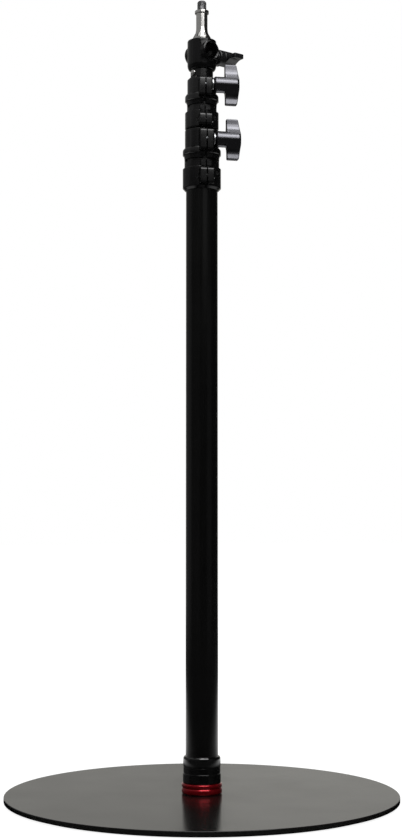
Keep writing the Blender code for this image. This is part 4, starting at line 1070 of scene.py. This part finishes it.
def make_head():
    """Head body with its cross socket, boss and holes."""
    low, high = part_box("head_body")
    bottom = head_bottom()
    top = high.z
    socket_z = bottom + SOCKET_HEIGHT
    corners = [(HEAD_RADIUS, top, HEAD_TOP_EDGE)]
    corners += arc((HEAD_BOWL_RADIUS, bottom + HEAD_BOWL_HEIGHT),
                   (HEAD_RADIUS - HEAD_BOWL_RADIUS, HEAD_BOWL_HEIGHT), 0, -90, BOWL_STEPS)
    corners += [(SHANK_RADIUS, bottom), (SHANK_RADIUS, low.z, COLLAR_EDGE)]
    head = solid("head_look", corners, ROUND_STEPS)
    socket_axis = Matrix.Translation((0, 0, socket_z)) @ laid_over((0, 0, 0), math.pi / 2)
    screw_axis = laid_over((0, 0, socket_z))
    reach = BARREL_HALF_LENGTH
    far = 2 * reach
    carve(head,
          solid("barrel", [(BARREL_RADIUS - BARREL_CHAMFER, reach),
                           (BARREL_RADIUS, reach - BARREL_CHAMFER, SEAT_GAP),
                           (BARREL_RADIUS, BARREL_CHAMFER - reach, SEAT_GAP),
                           (BARREL_RADIUS - BARREL_CHAMFER, -reach)], ROUND_STEPS, socket_axis),
          disc("boss", BOSS_RADIUS, 0.0, BOSS_REACH, BOSS_EDGE, ROUND_STEPS, screw_axis),
          operation="UNION")
    mouth = SOCKET_RADIUS + SOCKET_CHAMFER + FIT
    recess = SPIGOT_SCREW_HEAD_RADIUS + FIT
    recess_top = socket_z + SOCKET_RADIUS + SPIGOT_SCREW_HEAD_HEIGHT + SEAT_GAP
    carve(head,
          solid("bore", [(mouth, reach + FIT), (SOCKET_RADIUS, reach - SOCKET_CHAMFER),
                         (SOCKET_RADIUS, SOCKET_CHAMFER - reach), (mouth, -reach - FIT)],
                ROUND_STEPS, socket_axis),
          disc("stud_hole", HEAD_STUD_RADIUS + FIT, 0.0, far, place=screw_axis),
          disc("screw_hole", SPIGOT_HOLE_RADIUS, socket_z, top + SEAT_GAP),
          disc("screw_recess", recess, socket_z, recess_top),
          disc("pin_hole", PIN_RADIUS + FIT, -far, far, place=pin_axis()))
    soften(head, CASTING_EDGE)
    dress(head, "collar_black", "head_body", material=casting_black("head_black", 0.32))


def make_head_pin():
    """The pin through the third tube and the head's shank."""
    face = node_high(TUBES[-1]).x + SEAT_GAP
    end = face + PIN_HEAD_HEIGHT
    corners = [(0.0, end)]
    corners += arc((0.0, face), (PIN_HEAD_RADIUS, PIN_HEAD_HEIGHT), 90, 0)[1:]
    corners += [(PIN_RADIUS, face), (PIN_RADIUS, -face)]
    corners += arc((0.0, -face), (PIN_HEAD_RADIUS, PIN_HEAD_HEIGHT), 0, -90)[:-1]
    corners += [(0.0, -end)]
    dress(turned("pin_look", corners, SMALL_STEPS, pin_axis()), "chrome", "head_pin")


def make_head_knob():
    """Knob, stud and pressure pad of the head's socket."""
    pad_face = SOCKET_RADIUS + HEAD_PAD_RECESS
    pad_back = pad_face + HEAD_PAD_THICKNESS
    socket_z = head_bottom() + SOCKET_HEIGHT
    axis = laid_over((0, 0, socket_z), spin=math.pi / 2 + HEAD_KNOB_TILT)
    start = BOSS_REACH + HEAD_KNOB_TRAVEL + SEAT_GAP
    pad = disc("pad_look", HEAD_STUD_RADIUS, pad_face, pad_back, SEAT_GAP, place=axis)
    dress(pad, "black_steel", "head_pad")
    knob = make_knob("head_knob_look", axis, start, HEAD_KNOB_NECK_LENGTH, HEAD_KNOB_LENGTH,
                     HEAD_KNOB_WING_START, HEAD_STUD_RADIUS)
    dress(knob, "knob_black", "head_knob", KNOB_SMOOTH_ANGLE)
    stud = threaded("head_stud_look", HEAD_STUD_RADIUS, HEAD_STUD_PITCH, pad_back + SEAT_GAP,
                    start + KNOB_STUD_GRIP, 2 * FIT, axis)
    dress(stud, "zinc_steel", "head_knob_stud")


def make_spigot():
    """The turned spigot and the thread on its top."""
    low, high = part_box("spigot")
    cone = low.z + SPIGOT_BASE_HEIGHT
    waist = cone + SPIGOT_CONE_HEIGHT
    flange = waist + SPIGOT_WAIST_HEIGHT
    thread = flange + SPIGOT_FLANGE_HEIGHT
    corners = [(SPIGOT_FLANGE_RADIUS, thread, SPIGOT_EDGE),
               (SPIGOT_FLANGE_RADIUS, flange, SPIGOT_EDGE),
               (SPIGOT_WAIST_RADIUS, flange, SPIGOT_EDGE),
               (SPIGOT_WAIST_RADIUS, waist, SPIGOT_WAIST_ROUNDING),
               (SPIGOT_SHOULDER_RADIUS, cone + SPIGOT_SHOULDER_HEIGHT, SPIGOT_SHOULDER_ROUNDING),
               (SPIGOT_BASE_RADIUS, cone, SPIGOT_EDGE), (SPIGOT_BASE_RADIUS, low.z, SPIGOT_EDGE)]
    spigot = solid("spigot_look", corners, ROUND_STEPS)
    screw = threaded("spigot_thread", SPIGOT_THREAD_RADIUS, SPIGOT_THREAD_PITCH, thread, high.z,
                     SPIGOT_THREAD_CHAMFER, chamfer_bottom=False)
    carve(spigot, disc("hole", SPIGOT_HOLE_RADIUS, 0.0, low.z + SPIGOT_HOLE_DEPTH))
    dress(spigot, "chrome", "spigot")
    dress(screw, "chrome", "spigot", material=spigot_thread())


def dress_nodes():
    """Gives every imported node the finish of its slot, for the ones that nothing replaces."""
    for entry in frame["record"]["subparts"]:
        materials = frame["nodes"][entry["node"]].data.materials
        materials.clear()
        materials.append(FINISHES[entry["material_slot"]])


def combined(tree, operation, one, other):
    """The result of a math operation on two values."""
    node = add_node(tree, "Math")
    node.operation = operation
    tree.links.new(one, node.inputs[0])
    tree.links.new(other, node.inputs[1])
    return node.outputs["Value"]


def ray_mask(tree, *kinds):
    """1 for these kinds of ray, and 0 for the others."""
    path = add_node(tree, "LightPath")
    result = path.outputs[kinds[0]]
    for kind in kinds[1:]:
        result = combined(tree, "MAXIMUM", result, path.outputs[kind])
    return result


def between(tree, mask, low, high):
    """The low value where the mask is 0, and the high one where it is 1."""
    return add_node(tree, "Mix", Factor=mask, A=low, B=high).outputs["Result"]


def make_world():
    """White to look at, dim in reflections, and soft light for the rest."""
    world = bpy.data.worlds.new("studio")
    bpy.context.scene.world = world
    world.use_nodes = True
    tree = world.node_tree
    dim = between(tree, ray_mask(tree, "Is Glossy Ray"), ROOM_LIGHT, ROOM_REFLECTION)
    seen = ray_mask(tree, "Is Camera Ray", "Is Transmission Ray")
    fill(tree, tree.nodes["Background"], Color=(*WHITE, 1.0), Strength=between(tree, seen, dim, 1.0))


def distance_to(tree, spot):
    """How far each point of the object is from this spot."""
    measure = add_node(tree, "VectorMath")
    measure.operation = "DISTANCE"
    measure.inputs[1].default_value = spot
    tree.links.new(add_node(tree, "TexCoord").outputs["Object"], measure.inputs[0])
    return measure.outputs["Value"]


def painted_floor_reflection(tree):
    """Painted light for reflections: a bright painted patch of light behind the stand, painted shade
    round it, and a painted shadow at the plate.
    """
    centre = around(PAINTED_LIGHT_AZIMUTH, PAINTED_LIGHT_DISTANCE, 0.0)
    painted_light_patch = mapped(tree, distance_to(tree, centre), PAINTED_LIGHT_RADIUS, PAINTED_LIGHT_EDGE,
                  PAINTED_LIGHT_COLOUR, PAINTED_SHADE_COLOUR)
    shade = mapped(tree, distance_to(tree, (0.0, 0.0, 0.0)), PAINTED_PLATE_SHADOW_RADIUS,
                   PAINTED_PLATE_SHADOW_EDGE, 0.0, 1.0)
    return combined(tree, "MULTIPLY", painted_light_patch, shade)


def make_floor():
    """A floor that glows white to the camera, is lit by the lamps, and shows painted light and
    painted shade in reflections.
    """
    build = bmesh.new()
    bmesh.ops.create_grid(build, x_segments=1, y_segments=1, size=FLOOR_SIZE / 2)
    floor = link_build("floor", build)
    material = bpy.data.materials.new("floor_white")
    material.use_nodes = True
    tree = material.node_tree
    tree.nodes.remove(tree.nodes["Principled BSDF"])
    # Reflections see the floor's painted light and painted shade instead of its plain colour.
    colour = between(tree, ray_mask(tree, "Is Glossy Ray"), FLOOR_COLOUR, painted_floor_reflection(tree))
    diffuse = add_node(tree, "BsdfDiffuse", Color=colour)
    glow = add_node(tree, "Emission", Strength=FLOOR_GLOW)
    seen = ray_mask(tree, "Is Camera Ray", "Is Transmission Ray")
    mix = add_node(tree, "MixShader", Fac=between(tree, seen, 0.0, FLOOR_GLOW_SHARE))
    tree.links.new(diffuse.outputs["BSDF"], mix.inputs[1])
    tree.links.new(glow.outputs["Emission"], mix.inputs[2])
    fill(tree, tree.nodes["Material Output"], Surface=mix.outputs["Shader"])
    floor.data.materials.append(material)


def around(azimuth, distance, height):
    """A place round the column; azimuth 0 is the camera's side and grows to its right."""
    angle = CAMERA_AZIMUTH - math.pi / 2 + math.radians(azimuth)
    return Vector((distance * math.cos(angle), distance * math.sin(angle), height))


def aim(thing, location, target):
    """Puts a lamp or a camera in place, facing the target."""
    thing.location = location
    thing.rotation_euler = (Vector(target) - location).to_track_quat("-Z", "Y").to_euler()
    bpy.context.scene.collection.objects.link(thing)


def softbox(name, azimuth, distance, height, width, tall, radiance, target_height, colour):
    """A rectangular light, facing the column at the target height."""
    light = bpy.data.lights.new(name, "AREA")
    light.shape = "RECTANGLE"
    light.size = width
    light.size_y = tall
    light.energy = radiance * math.pi * width * tall
    light.color = colour
    box = bpy.data.objects.new(name, light)
    aim(box, around(azimuth, distance, height), (0, 0, target_height))
    box.visible_camera = False


def make_camera():
    """The camera, level but for its pitch."""
    camera = bpy.data.cameras.new("camera")
    camera.sensor_width = SENSOR_SIZE
    camera.lens = FOCAL_PIXELS / IMAGE_HEIGHT * SENSOR_SIZE
    eye = bpy.data.objects.new("camera", camera)
    spot = around(0.0, CAMERA_DISTANCE, CAMERA_HEIGHT)
    ahead = -Vector((spot.x, spot.y, 0.0)).normalized()
    left = Vector((-ahead.y, ahead.x, 0.0))
    spot += left * CAMERA_SIDE
    gaze = ahead * math.cos(CAMERA_PITCH) + Vector((0, 0, math.sin(CAMERA_PITCH)))
    aim(eye, spot, spot + gaze)
    bpy.context.scene.camera = eye


make_plate()
make_hub()
make_plate_screws()
make_foot()
make_tubes()
make_collars()
make_head()
make_head_pin()
make_head_knob()
make_spigot()
dress_nodes()
make_world()
make_floor()
for backdrop in BACKDROPS:
    softbox(*backdrop, WARM_WHITE)
for box in SOFTBOXES:
    softbox(*box, WHITE)
make_camera()
bpy.context.scene.view_settings.view_transform = "Standard"
